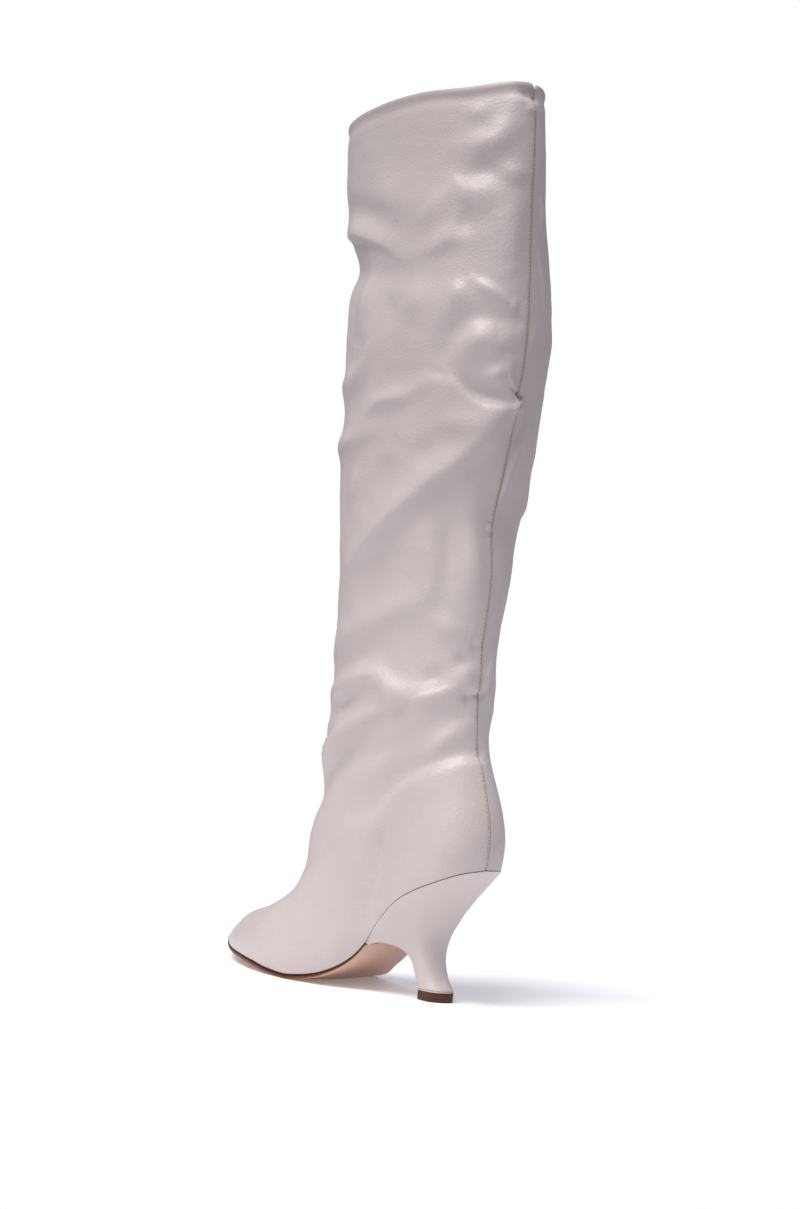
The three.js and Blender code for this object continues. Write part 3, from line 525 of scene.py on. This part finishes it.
def crease_height(base, normals, creases):
    """How high the creases stand at each point of a grid on the last's surface."""
    flat = base.reshape(-1, 3)
    total = np.zeros(len(flat))
    for height, above, below, start, end, path in creases:
        ring, around = (np.array(values, float) for values in zip(*path))
        steps = np.linspace(0, len(path) - 1, 16 * (len(path) - 1) + 1)
        line = last_point(at_row(ring, steps), wrapped(at_row(around, steps)))
        run = run_along(line)
        even = np.linspace(0, run[-1], max(12, int(run[-1] / 0.8)))
        line = on_line(even, run, line)
        tangent = unit(np.gradient(line, axis=0))
        margin = 2.6 * max(above, below)
        near = np.all((flat > line.min(0) - margin) & (flat < line.max(0) + margin), 1)
        index = np.nonzero(near)[0]
        if not len(index):
            continue
        points, outward = flat[index], normals.reshape(-1, 3)[index]
        apart = (points**2).sum(1)[:, None] + (line**2).sum(1)[None] - 2 * points @ line.T
        nearest = apart.argmin(1)
        offset = points - line[nearest]
        spot = even[nearest] + (offset * tangent[nearest]).sum(1)
        share = np.clip(spot / even[-1], 0, 1)
        beyond = np.maximum(0, np.maximum(-spot, spot - even[-1]))
        side = (offset * np.cross(outward, tangent[nearest])).sum(1)
        through = (offset * outward).sum(1)
        width = np.where(side > 0, above, below)
        strength = np.where(
            share < 0.5, mix(start, 1, smooth(0, 0.5, share)), mix(end, 1, smooth(0, 0.5, 1 - share))
        )
        away = (side / width) ** 2 + (beyond / (0.6 * width)) ** 2 + (through / THROUGH_LIMIT) ** 4
        total[index] += height * strength * np.exp(-away)
    return total.reshape(base.shape[:2])


def ripple(points, amount, length, seed, count=14):
    """A soft uneven swell: waves of about that length in directions that the seed settles."""
    random = np.random.default_rng(seed)
    total = np.zeros(points.shape[:-1])
    for _ in range(count):
        direction = unit(random.normal(size=3))
        wave = direction * 2 * np.pi / (length * random.uniform(0.7, 1.5))
        total += np.sin(points @ wave + random.uniform(0, 2 * np.pi))
    return amount * total / np.sqrt(count)


def add_object(name, data):
    """A new object in the scene."""
    obj = bpy.data.objects.new(name, data)
    bpy.context.scene.collection.objects.link(obj)
    return obj


def grid_faces(high, wide, closed=True, flip=False):
    """The faces of a grid. closed joins the last column to the first, and flip turns the faces round."""
    index = np.arange(high * wide).reshape(high, wide)
    right = np.roll(index, -1, 1) if closed else index[:, 1:]
    left = index if closed else index[:, :-1]
    quads = np.stack([left[:-1], left[1:], right[1:], right[:-1]], -1).reshape(-1, 4)
    return quads[:, ::-1] if flip else quads


def tube_faces(high, wide, flip=False):
    """The faces of a grid that is closed round and at both ends. The two end faces come last."""
    last = (high - 1) * wide
    faces = [*grid_faces(high, wide).tolist(), list(range(wide)), list(range(last, last + wide))[::-1]]
    return [face[::-1] for face in faces] if flip else faces


def grid_mesh(name, points, closed=True, flip=False, attributes=None):
    """An object from a grid of points in the tables' axes."""
    faces = grid_faces(*points.shape[:2], closed, flip)
    return face_mesh(name, points.reshape(-1, 3), faces, attributes)


def face_mesh(name, points, faces, attributes=None):
    """An object from points in the tables' axes and faces given by their corners."""
    mesh = bpy.data.meshes.new(name)
    mesh.from_pydata(place(points), [], [list(face) for face in faces])
    for key, values in (attributes or {}).items():
        layer = mesh.attributes.new(key, "FLOAT", "POINT")
        layer.data.foreach_set("value", np.asarray(values, np.float32).ravel())
    mesh.polygons.foreach_set("use_smooth", np.ones(len(mesh.polygons), bool))
    mesh.update()
    return add_object(name, mesh)


# The camera stands where the photograph was taken from: behind the boot, a little to its outer side.
CAMERA_PLACE = Vector((-1.1279, 0.8390, 0.1462))
CAMERA_FORWARD = Vector((0.79601, -0.60354, 0.04596))
CAMERA_ROLL = 4.97  # degrees
CAMERA_LENS = 74.64
SENSOR_HEIGHT = 36

camera_data = bpy.data.cameras.new("camera")
camera_data.sensor_fit = "VERTICAL"
camera_data.sensor_height = SENSOR_HEIGHT
camera_data.lens = CAMERA_LENS
camera_data.clip_start, camera_data.clip_end = 0.05, 30
camera = add_object("camera", camera_data)
forward = CAMERA_FORWARD.normalized()
level_right = forward.cross(Vector((0, 0, 1))).normalized()
level_up = level_right.cross(forward)
roll = np.radians(CAMERA_ROLL)
right = level_right * np.cos(roll) + level_up * np.sin(roll)
up = level_up * np.cos(roll) - level_right * np.sin(roll)
camera.matrix_world = Matrix.Translation(CAMERA_PLACE) @ Matrix((right, up, -forward)).transposed().to_4x4()
bpy.context.scene.camera = camera


# Materials
class Shader:
    """A material and short calls for the nodes in it."""

    def __init__(self, name, color, roughness, specular=0.5, **sockets):
        self.material = bpy.data.materials.new(name)
        self.material.use_nodes = True
        self.tree = self.material.node_tree
        self.bsdf = self.tree.nodes["Principled BSDF"]
        self.bsdf.inputs["Base Color"].default_value = (*color, 1)
        self.bsdf.inputs["Roughness"].default_value = roughness
        self.bsdf.inputs["Specular IOR Level"].default_value = specular
        for key, value in sockets.items():
            self.bsdf.inputs[key.replace("_", " ")].default_value = value
        self.bump_out = None

    def node(self, kind, **settings):
        node = self.tree.nodes.new(kind)
        for key, value in settings.items():
            if key in node.inputs:
                node.inputs[key].default_value = value
            else:
                setattr(node, key, value)
        return node

    def link(self, a, b):
        self.tree.links.new(a, b)

    def coordinates(self):
        return self.node("ShaderNodeTexCoord").outputs["Object"]

    def noise(self, scale, detail=2.0, roughness=0.5):
        node = self.node("ShaderNodeTexNoise", Scale=scale, Detail=detail, Roughness=roughness)
        self.link(self.coordinates(), node.inputs["Vector"])
        return node.outputs["Fac"]

    def cells(self, scale, feature="F1"):
        node = self.node("ShaderNodeTexVoronoi", Scale=scale, feature=feature)
        self.link(self.coordinates(), node.inputs["Vector"])
        return node.outputs["Distance"]

    def attribute(self, name):
        return self.node("ShaderNodeAttribute", attribute_name=name).outputs["Fac"]

    def ramp(self, factor, *stops):
        node = self.node("ShaderNodeValToRGB")
        elements = node.color_ramp.elements
        while len(elements) < len(stops):
            elements.new(0.5)
        for element, (position, color) in zip(elements, stops):
            element.position = position
            element.color = (*color, 1)
        self.link(factor, node.inputs["Fac"])
        return node.outputs["Color"]

    def span(self, value, low, high, to_low, to_high):
        node = self.node("ShaderNodeMapRange", clamp=True)
        for socket, number in zip(("From Min", "From Max", "To Min", "To Max"), (low, high, to_low, to_high)):
            node.inputs[socket].default_value = number
        self.link(value, node.inputs["Value"])
        return node.outputs["Result"]

    def blend(self, factor, a, b):
        """Mixes two colours. Each is a socket or the three values of a colour."""
        node = self.node("ShaderNodeMix", data_type="RGBA")
        for socket, value in (("Factor", factor), ("A", a), ("B", b)):
            target = [s for s in node.inputs if s.name == socket and s.enabled][0]
            if isinstance(value, tuple):
                target.default_value = (*value, 1)
            else:
                self.link(value, target)
        return [s for s in node.outputs if s.enabled][0]

    def color(self, output):
        self.link(output, self.bsdf.inputs["Base Color"])

    def rough(self, output):
        self.link(output, self.bsdf.inputs["Roughness"])

    def bump(self, height, distance, strength=1.0):
        """Adds a bump of that depth in metres over the ones before it."""
        node = self.node("ShaderNodeBump", Distance=distance, Strength=strength)
        self.link(height, node.inputs["Height"])
        if self.bump_out:
            self.link(self.bump_out, node.inputs["Normal"])
        self.bump_out = node.outputs["Normal"]
        self.link(self.bump_out, self.bsdf.inputs["Normal"])


def linear(red, green, blue):
    """A colour given as 0 to 255, as the linear values that a shader takes."""
    values = np.array([red, green, blue]) / 255
    return tuple(np.where(values <= 0.04045, values / 12.92, ((values + 0.055) / 1.055) ** 2.4))


def leather(name, lightness=1.0):
    """Smooth greige leather with a fine grain; its attribute edge is 1 on raw and glued edges and also holds
    painted shade.
    """
    shader = Shader(name, linear(184, 173, 171), 0.42, 0.45, Coat_Weight=0.06, Coat_Roughness=0.4)
    shades = [(0.3, (179, 168, 166)), (0.5, (184, 173, 171)), (0.7, (188, 178, 175))]
    # lightness scales these colours; the heel's copy uses it as painted light for the bounce from the floor
    stops = [(spot, linear(*(lightness * value for value in shade))) for spot, shade in shades]
    tone = shader.ramp(shader.noise(9.0, 3.0, 0.55), *stops)
    fine = shader.span(shader.noise(900.0, 2.0, 0.6), 0.3, 0.7, 0.0, 0.08)
    tone = shader.blend(fine, tone, linear(168, 155, 152))
    # dark brown where the attribute edge is set: raw and glued edges and the seam line, and on the upper also
    # painted shade along the collar and a painted shadow by the seam
    tone = shader.blend(shader.attribute("edge"), tone, linear(62, 42, 32))
    shader.color(tone)
    shader.rough(shader.span(shader.noise(260.0, 3.0, 0.6), 0.3, 0.7, 0.38, 0.50))
    shader.bump(shader.noise(90.0, 3.0, 0.6), 0.00022, 0.45)
    shader.bump(shader.cells(820.0, "SMOOTH_F1"), 0.00036, 0.45)
    shader.bump(shader.noise(1500.0, 2.0, 0.6), 0.00012, 0.45)
    return shader.material


LEATHER = leather("greige_leather")
# the heel's copy is 4% lighter: painted light for the floor's bounce on its downward-facing cover
HEEL_LEATHER_PAINTED_LIGHT = leather("greige_leather_heel_painted_light", 1.04)


def sole_material():
    """Nude leather with a dark painted edge; the attribute edge is 0 underneath and 1 at the top."""
    shader = Shader("sole_leather", linear(206, 170, 152), 0.5, 0.2)
    tone = shader.ramp(
        shader.noise(16.0, 3.0, 0.6), (0.3, linear(198, 161, 143)), (0.7, linear(213, 178, 161))
    )
    fibre = shader.span(shader.noise(700.0, 2.0, 0.6), 0.3, 0.7, 0.0, 0.12)
    tone = shader.blend(fibre, tone, linear(160, 122, 102))
    edge = shader.attribute("edge")
    painted = shader.ramp(
        edge,
        (0.0, linear(190, 150, 124)),
        (0.14, linear(134, 84, 40)),
        (0.26, linear(106, 60, 20)),
        (0.62, linear(84, 46, 15)),
        (0.80, linear(36, 18, 8)),
    )
    shader.color(shader.blend(shader.span(edge, 0.02, 0.10, 0.0, 1.0), tone, painted))
    shader.rough(shader.span(shader.noise(120.0, 2.0, 0.5), 0.3, 0.7, 0.42, 0.56))
    shader.bump(shader.noise(420.0, 3.0, 0.6), 0.00008, 0.5)
    return shader.material


def lift_material():
    """Dark brown tread with fine pores; the attribute edge marks a pale line round its top."""
    shader = Shader("lift_rubber", linear(74, 48, 28), 0.6, 0.25)
    tone = shader.ramp(shader.noise(70.0, 3.0, 0.6), (0.3, linear(68, 43, 25)), (0.7, linear(84, 56, 33)))
    speck = shader.span(shader.noise(1500.0, 2.0, 0.6), 0.45, 0.7, 0.0, 0.35)
    tone = shader.blend(speck, tone, linear(44, 28, 17))
    tone = shader.blend(shader.attribute("edge"), tone, linear(196, 180, 166))
    shader.color(tone)
    shader.bump(shader.noise(900.0, 2.0, 0.5), 0.00008, 0.5)
    return shader.material


def lining_material():
    """Cream pigskin lining with sparse pores."""
    shader = Shader("lining", linear(216, 200, 180), 0.68, 0.3)
    tone = shader.ramp(
        shader.noise(22.0, 3.0, 0.6), (0.3, linear(208, 190, 169)), (0.7, linear(222, 207, 188))
    )
    pores = shader.span(shader.cells(420.0), 0.05, 0.22, 0.5, 0.0)
    shader.color(shader.blend(pores, tone, linear(176, 150, 124)))
    shader.bump(shader.cells(420.0), 0.0001, 0.4)
    return shader.material


def thread_material():
    shader = Shader("thread", linear(164, 138, 118), 0.6, 0.4)
    tone = shader.ramp(
        shader.noise(1800.0, 2.0, 0.5), (0.35, linear(146, 120, 100)), (0.65, linear(182, 158, 138))
    )
    shader.color(tone)
    shader.bump(shader.noise(4000.0, 1.0, 0.5), 0.00005, 0.5)
    return shader.material


def finish_piece(obj, material, replaces=None):
    obj.data.materials.append(material)
    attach(obj, "root")
    if replaces:
        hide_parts(replaces)
    return obj


# Upper: outer skin, rolled collar and the edge that tucks under
perimeter = 2 * (SHAFT_DEPTH + SHAFT_WIDTH) * ROUND_SHARE  # of the shaft, shorter than its box's
even_around = np.r_[
    np.linspace(0, 1, OUTER_STEPS + 1),
    -np.arange(NEAR_START, NEAR_SEAM, NEAR_STEP),
    -np.linspace(NEAR_SEAM, 1, INNER_STEPS + 1)[:-1],
]
seam_around = np.array(SEAM_COLUMNS) / perimeter * 2
clear_of_seam = np.abs(even_around) > 1.15 * seam_around.max()
signed = np.sort(np.r_[even_around[clear_of_seam], seam_around])
around_list = np.r_[signed[signed >= 0], signed[signed < 0]]
# the rows lie closer together up the shaft, where the creases are
fine_rows = np.linspace(0, TOP_ROW, FINE_ROWS)
side_line = last_point(fine_rows, np.full(FINE_ROWS, 0.25))
run = run_along(side_line, mix(FOOT_SHARE, 1, smooth(3, 6, fine_rows[1:])))
row_list = np.interp(np.linspace(0, run[-1], RINGS_UP - 1), run, fine_rows)
row_list = np.r_[0, EDGE_ROW, row_list[1:]]
rows, arounds = np.meshgrid(row_list, around_list, indexing="ij")


def seam_offset(points, arounds):
    """Distance in millimetres from the back seam, positive on the outer side."""
    zero = int(np.nonzero(around_list == 0)[0][0])
    steps = np.linalg.norm(np.roll(points, -1, 1) - points, axis=-1)
    ahead = np.cumsum(steps, axis=1) - steps
    total = steps.sum(1, keepdims=True)
    ahead = ahead - ahead[:, zero : zero + 1]
    return np.where(arounds >= 0, ahead, ahead - total)


base = last_point(rows, arounds)
skin = base + grid_normals(base) * fold_height(rows, arounds)[..., None]
skin_normal = grid_normals(skin)
# each side's creases carry on past the front and fade into those of the other side
from_front = 1 - np.abs(arounds)
own_side = 0.5 + 0.5 * smooth(0, 0.2, from_front)
past_front = 1 - own_side
outer_fade = np.where(arounds > 0, own_side, np.where(arounds > -0.5, 1, past_front))
clear_of_back = smooth(0.16, 0.36, -arounds)
inner_fade = np.where(arounds < 0, own_side * clear_of_back, np.where(arounds > 0.5, past_front, 0))
outer_creases = crease_height(base, skin_normal, OUTER_CREASES) * outer_fade
inner_creases = crease_height(base, skin_normal, on_inner_side(OUTER_CREASES)) * inner_fade
calm = mix(FRONT_CALM, 1, smooth(0.12, 0.42, from_front))
creases = CREASE_DEPTH * calm * (outer_creases + inner_creases)
creases = creases + crease_height(base, skin_normal, SEAM_CREASES)
for amount, length, seed in SWELLS:
    creases = creases + ripple(skin, amount, length, seed) * smooth(3.5, 7.0, rows)
offset = seam_offset(skin, arounds)
lap = LAP_STEP * np.where(offset > 0.05, hump(offset, 0, LAP_FADE), 0)
pull = SEAM_PULL * hump(offset, -0.25, 0.45) + THREAD_PULL * hump(offset, STITCH_INSET, 0.5)
below_top = skin[-1:, :, 2] - skin[..., 2]
collar = COLLAR_FLARE * (1 - smooth(0, 5.0, below_top)) - COLLAR_GROOVE * hump(below_top, 6.0, 3.2)
collar = collar - COLLAR_EDGE * hump(below_top, 0, 1.0)
edge_fade = np.where(rows < 1, smooth(0, 3.0, rows), 1)
dent = creases * edge_fade + lap * smooth(0, 0.4, rows) - pull + collar
skin = skin + skin_normal * dent[..., None]
dip = COLLAR_DIP * hump(arounds, 0.26, 0.12) * smooth(TOP_ROW - 2, TOP_ROW, rows)
notch = COLLAR_NOTCH * hump(offset, -0.2, 1.5) * smooth(TOP_ROW - 0.16, TOP_ROW, rows)
skin[..., 2] -= dip + notch
skin_normal = grid_normals(skin)

WALL_HALF = UPPER_WALL / 2
rim = [
    skin[-1] - skin_normal[-1] * WALL_HALF * (1 - np.cos(angle)) + UP * ROLL_RISE * np.sin(angle)
    for angle in (np.pi / 4, np.pi / 2)
]
rim.append(skin[-1] - skin_normal[-1] * WALL_HALF - UP * 0.8)
tuck = [
    skin[0] - skin_normal[0] * [1, 1, 0] * inward - UP * down
    for inward, down in ((1.2, 0.25), (0.45, 0.16))
]
outer = np.concatenate([tuck, skin, rim])
# the mark is 1 where the edge is glued and in the line of the seam; fainter painted shade runs along the
# collar band and the rolled rim, and a painted shadow lies by the seam under the collar
edge_and_shade_mark = np.zeros(outer.shape[:2])
edge_and_shade_mark[: len(tuck) + 1] = 1.0
seam_mark = hump(offset, -0.1, 0.3)
shade_band_depth = mix(3.2, 5.4, hump(np.abs(arounds), 0.25, 0.12))
# painted shade: a faint dark band under the collar's top edge, wider about a quarter of the way round from
# the seam on each side
topline_painted_shade = COLLAR_SHADE_SHARE * (1 - smooth(0.6, 1.35, below_top / shade_band_depth))
# painted shadow of the pucker beside the seam, just under the collar on the outer side
pucker_painted_shadow = 0.4 * hump(offset, 2.4, 2.0) * hump(below_top, 3.8, 1.5)
skin_mark = edge_and_shade_mark[len(tuck) : len(tuck) + RINGS_UP]
skin_mark[:] = np.max([skin_mark, pucker_painted_shadow, seam_mark, topline_painted_shade], axis=0)
# the rolled rim takes the same painted shade
edge_and_shade_mark[len(tuck) + RINGS_UP :] = COLLAR_SHADE_SHARE
upper = grid_mesh("upper_leather", outer, attributes={"edge": edge_and_shade_mark})
finish_piece(upper, LEATHER, "upper")

# Lining: the inner half of the wall, a little proud at the collar
inner_rows = np.unique(np.r_[np.arange(0, RINGS_UP, 3), RINGS_UP - 1])
inner_columns = np.arange(0, len(around_list), 2)
body = (skin - skin_normal * UPPER_WALL)[inner_rows][:, inner_columns]
top_normal = skin_normal[-1][inner_columns]
top_outer = skin[-1][inner_columns] - top_normal * (WALL_HALF + 0.05)
lining_rim = [
    body[-1] + UP * 0.75,
    (body[-1] + top_outer) / 2 + UP * 1.25,
    top_outer + UP * 0.9,
    top_outer - UP * 0.6,
]
lining = grid_mesh("upper_lining", np.concatenate([body, lining_rim]), flip=True)
finish_piece(lining, lining_material())


# Stitches beside the back seam
def stitch_points(centre, along, outward):
    """Rings of points for a short rounded stitch that lies along a direction."""
    across = unit(np.cross(along, outward))
    made = []
    for spot, size in STITCH_PROFILE:
        for k in range(STITCH_SIDES):
            turn = 2 * np.pi * k / STITCH_SIDES
            spoke = (across * np.cos(turn) + outward * np.sin(turn)) * STITCH_RADIUS * size
            made.append(centre + along * spot * STITCH_LENGTH + spoke)
    return made


def stitches():
    column = int(np.argmin(np.abs(offset[RINGS_UP // 2] - STITCH_INSET)))
    line, outward = skin[:, column], skin_normal[:, column]
    run = run_along(line)
    one = tube_faces(len(STITCH_PROFILE), STITCH_SIDES)
    points, faces = [], []
    for spot in np.arange(2.0, run[-1] - 6.0, STITCH_PITCH):
        centre = on_line(spot, run, line)
        ahead = on_line(spot + 0.8, run, line)
        normal = unit(on_line(spot, run, outward))
        faces += [[len(points) + corner for corner in face] for face in one]
        points += stitch_points(centre + normal * 0.05, unit(ahead - centre), normal)
    return face_mesh("seam_stitches", np.array(points), faces)


finish_piece(stitches(), thread_material())


# Heel, outsole, top lift and insole
def seat_side(along, side):
    """Points of the lower edge of the upper on one side."""
    along = np.asarray(along, float)
    return np.stack(
        [BACK_X + along * FOOT_LENGTH, side * half_width(along, side), edge_height(along, side)], -1
    )


HEEL_FRONT = HEEL_REACH / FOOT_LENGTH
HEEL_FOOT_Z = LIFT_THICKNESS + CLEARANCE


def heel_top(along, side):
    """Height of the heel's top, just under the upper."""
    return edge_height(along, side) - CLEARANCE / 2


def heel_ring(row, along_list):
    """A ring of the heel: along its outer side, across its front and back along its inner side."""
    ring = {name: float(at_row(values, row)) for name, values in heel_rings.items()}
    back_top, front_top = float(heel_top(0.0, 1)), float(heel_top(HEEL_FRONT, 1))
    back_z = mix(HEEL_FOOT_Z, back_top, ring["backUp"])
    past_first = min(max(row, 0), 1)
    lip = past_first * HEEL_LIP * SOLE_THICKNESS
    tuck_in = min(max(2 - row, 0), 1)
    front_z = mix(mix(HEEL_FOOT_Z, SEAT_HEIGHT, ring["frontUp"]), front_top - lip, tuck_in)

    def points(along, side):
        t = along / HEEL_FRONT
        corner = 1 - CORNER_DRAW * smooth(1 - CORNER * 1.6, 1, t) * past_first
        width = half_width(along, side) * mix(ring["backWide"], ring["frontWide"], t)
        sag = heel_top(along, side) - mix(back_top, front_top, t)
        x = BACK_X + mix(ring["back"], ring["front"], t) * HEEL_REACH
        return np.stack([x, side * width * corner, mix(back_z, front_z, t) + ring["sag"] * sag], -1)

    outside = points(along_list, 1)
    inside = points(along_list[1:], -1)[::-1]
    share = (np.arange(1, HEEL_FRONT_STEPS) / HEEL_FRONT_STEPS)[:, None]
    return np.concatenate([outside, mix(outside[-1], inside[0], share), inside])


def heel():
    """The heel's cover, and the ring that it stands on."""
    along_list = HEEL_FRONT * (1 - np.cos(np.linspace(0, np.pi, HEEL_STEPS))) / 2
    last = len(heel_rings["back"]) - 1
    row_steps = np.r_[0, EDGE_ROW, np.linspace(0, last, HEEL_ROWS)[1:]]
    grid = np.array([heel_ring(row, along_list) for row in row_steps])
    centre = grid.mean(1, keepdims=True)
    lip_top = [mix(grid[0], centre[0], share) - UP * down for share, down in ((0.08, 0.35), (0.03, 0.05))]
    lip_bottom = [mix(grid[-1], centre[-1], share) + UP * up for share, up in ((0.05, 0.0), (0.5, 0.3))]
    grid[-1] = mix(grid[-1], centre[-1], 0.012)
    full = np.concatenate([lip_top, grid, lip_bottom])
    mark = np.zeros(full.shape[:2])
    mark[: len(lip_top) + 1] = 1
    return grid_mesh("heel_cover", full, flip=True, attributes={"edge": mark}), grid[-1]


heel_piece, heel_foot = heel()
finish_piece(heel_piece, HEEL_LEATHER_PAINTED_LIGHT, "heel")


def filled(name, loops, marks, flip=False):
    """Loops of points, one after the other, closed at both ends by a flat face."""
    faces = tube_faces(*loops.shape[:2], flip)
    obj = face_mesh(name, loops.reshape(-1, 3), faces, {"edge": marks})
    for end_face in list(obj.data.polygons)[-2:]:
        end_face.use_smooth = False
    return obj


def top_lift():
    """The brown tread under the heel, with a pale line round its upper edge."""
    outline = heel_foot
    middle = np.array([(outline[:, 0].min() + outline[:, 0].max()) / 2, 0, 0])
    growth = 1 + LIFT_EDGE / outline[:, 1].max()
    # height, share of the outline and edge mark, from the top down
    levels = [
        (LIFT_THICKNESS, 0.94, 0.0),
        (LIFT_THICKNESS + 0.15, 0.985, 1.0),
        (LIFT_THICKNESS, 1.0, 1.0),
        (LIFT_THICKNESS - 0.35, 1.0, 0.9),
        (LIFT_THICKNESS - 0.5, 1.0, 0.0),
        (LIFT_THICKNESS / 2, 1.0, 0.0),
        (0.5, 1.0, 0.0),
        (0.15, 0.985, 0.0),
        (0.0, 0.96, 0.0),
    ]
    loops, marks = [], []
    for z, share, mark in levels:
        loop = middle + (outline - middle) * [growth * share, growth * share, 0]
        loop[:, 2] = z
        loops.append(loop)
        marks.append(np.full(len(loop), mark))
    return filled("top_lift_tread", np.array(loops), np.array(marks), flip=True)


finish_piece(top_lift(), lift_material(), "top_lift")


def sole_rim(edge_y, inward, top_z, bottom_z, thick):
    """One rim of the sole from its top to its underside: places across, heights and edge marks."""
    return [
        (edge_y + 1.5 * inward, top_z - 0.3, 1.0),
        (edge_y + 0.25 * inward, top_z, 1.0),
        (edge_y, top_z - 0.12 * thick, 0.9),
        (edge_y, top_z - 0.5 * thick, 0.55),
        (edge_y + 0.05 * inward, mix(top_z, bottom_z, 0.82), 0.3),
        (edge_y + 0.25 * inward, bottom_z + 0.02 * thick, 0.12),
    ]


def outsole():
    """A thin sole: painted edge, crowned underside and a flat tread at the ball."""
    start = HEEL_FRONT + CLEARANCE / FOOT_LENGTH
    along_list = (1 - np.cos(np.linspace(angle_of(start), np.pi, SOLE_STEPS))) / 2
    across = np.linspace(-1, 1, SOLE_COLUMNS)
    middle = SOLE_COLUMNS // 2
    sections, marks = [], []
    for along in along_list:
        edge = SOLE_EDGE * min((along - start) / EDGE_RUN, 1)
        tip = edge * smooth(0.995, 1.0, along)
        inner, outer_side = seat_side(along, -1), seat_side(along, 1)
        width = outer_side[1] - inner[1]
        thick = float(plan_at("sole", along)) * SOLE_THICKNESS
        low_y, high_y = inner[1] - edge + tip, outer_side[1] + edge - tip
        y = mix(low_y, high_y, (across + 1) / 2)
        bed = mix(inner[2], outer_side[2], np.clip((y - inner[1]) / width, 0, 1))
        crown = SOLE_CROWN * (1 - across**2) * min(max((1 - along) / CROWN_RUN, 0), 1)
        under = np.maximum(0, bed - thick - crown)
        top_z = bed - CLEARANCE / 2
        section = [(y[middle], top_z[middle] - 0.4, 1.0)]
        section += sole_rim(high_y, -1, top_z[-1], under[-1], thick)
        section += [(y[k], under[k], 0.0) for k in range(SOLE_COLUMNS - 2, 0, -1)]
        section += sole_rim(low_y, 1, top_z[0], under[0], thick)[::-1]
        x = BACK_X + along * FOOT_LENGTH + tip
        sections.append([(x, point[0], point[1]) for point in section])
        marks.append([point[2] for point in section])
    sections, marks = np.array(sections), np.array(marks)
    marks[-1, :] = np.maximum(marks[-1, :], 0.5)
    return filled("outsole_leather", sections, marks)


finish_piece(outsole(), sole_material(), "outsole")


def insole():
    """A lightly padded sock that fills the foot between the walls."""
    along_list = (1 - np.cos(np.linspace(0.11, np.pi - 0.08, INSOLE_STEPS))) / 2
    across = np.linspace(-1, 1, INSOLE_COLUMNS)
    grid = []
    for along in along_list:
        inner, outer_side = seat_side(along, -1), seat_side(along, 1)
        y = mix(inner[1] + UPPER_WALL - 0.4, outer_side[1] - UPPER_WALL + 0.4, (across + 1) / 2)
        z = mix(inner[2], outer_side[2], (across + 1) / 2) + INSOLE_THICKNESS + 0.15
        z = z + 0.5 * (1 - across**2) - 0.8 * smooth(0.93, 1.0, np.abs(across))
        grid.append(np.stack([np.full(INSOLE_COLUMNS, BACK_X + along * FOOT_LENGTH), y, z], -1))
    return grid_mesh("insole_sock", np.array(grid), closed=False)


finish_piece(insole(), lining_material(), "insole")

# Studio: white floor, soft key from above and the camera's left, and a pale surround
FLOOR_RADIUS = 0.6


def floor():
    mesh = bpy.data.meshes.new("floor")
    middle = (cad_low + cad_high) / 2
    turns = np.linspace(0, 2 * np.pi, 96, endpoint=False)
    rim = [(middle.x + FLOOR_RADIUS * np.cos(t), middle.y + FLOOR_RADIUS * np.sin(t), 0) for t in turns]
    mesh.from_pydata(rim, [], [list(range(len(rim)))])
    obj = add_object("floor", mesh)
    shader = Shader("floor_white", (0.88, 0.88, 0.89), 0.6, 0.2)
    tone = shader.ramp(shader.noise(1.5, 2.0, 0.5), (0.3, (0.87, 0.87, 0.88)), (0.7, (0.89, 0.89, 0.90)))
    shader.color(tone)
    shader.bsdf.inputs["Emission Color"].default_value = (1, 1, 1, 1)
    shader.bsdf.inputs["Emission Strength"].default_value = 0.12
    mesh.materials.append(shader.material)


floor()


def sun(name, direction, strength, spread, color=(1, 1, 1)):
    """A soft distant light that shines along a direction."""
    data = bpy.data.lights.new(name, "SUN")
    data.energy = strength
    data.angle = np.radians(spread)
    data.color = color
    light = add_object(name, data)
    light.rotation_mode = "QUATERNION"
    light.rotation_quaternion = Vector(direction).to_track_quat("-Z", "Y")


# directions are given as the camera sees them: right, up and forward
def seen(right_share, up_share, forward_share):
    flat_forward = Vector((forward.x, forward.y, 0)).normalized()
    return level_right * right_share + Vector((0, 0, up_share)) + flat_forward * forward_share


sun("key", seen(0.60, -1.50, 0.50), 3.5, 40, (1.0, 0.985, 0.97))
sun("front_fill", seen(0.55, -0.25, 1.0), 0.45, 60, (1.0, 0.99, 0.985))
sun("side_fill", seen(-1.0, -0.25, -0.15), 0.12, 60, (0.76, 0.78, 1.0))
sun("back_fill", seen(-0.55, -1.3, -0.45), 0.75, 50, (0.93, 0.93, 1.0))

world = bpy.data.worlds.new("studio")
bpy.context.scene.world = world
world.use_nodes = True
background = world.node_tree.nodes["Background"]
background.inputs["Color"].default_value = (0.88, 0.88, 1.0, 1)
background.inputs["Strength"].default_value = 0.34
shown = world.node_tree.nodes.new("ShaderNodeBackground")
shown.inputs["Color"].default_value = (1, 1, 1, 1)
shown.inputs["Strength"].default_value = 1.0
chooser = world.node_tree.nodes.new("ShaderNodeMixShader")
path = world.node_tree.nodes.new("ShaderNodeLightPath")
links = world.node_tree.links
links.new(path.outputs["Is Camera Ray"], chooser.inputs["Fac"])
links.new(background.outputs["Background"], chooser.inputs[1])
links.new(shown.outputs["Background"], chooser.inputs[2])
links.new(chooser.outputs["Shader"], world.node_tree.nodes["World Output"].inputs["Surface"])
bpy.context.scene.view_settings.view_transform = "Standard"
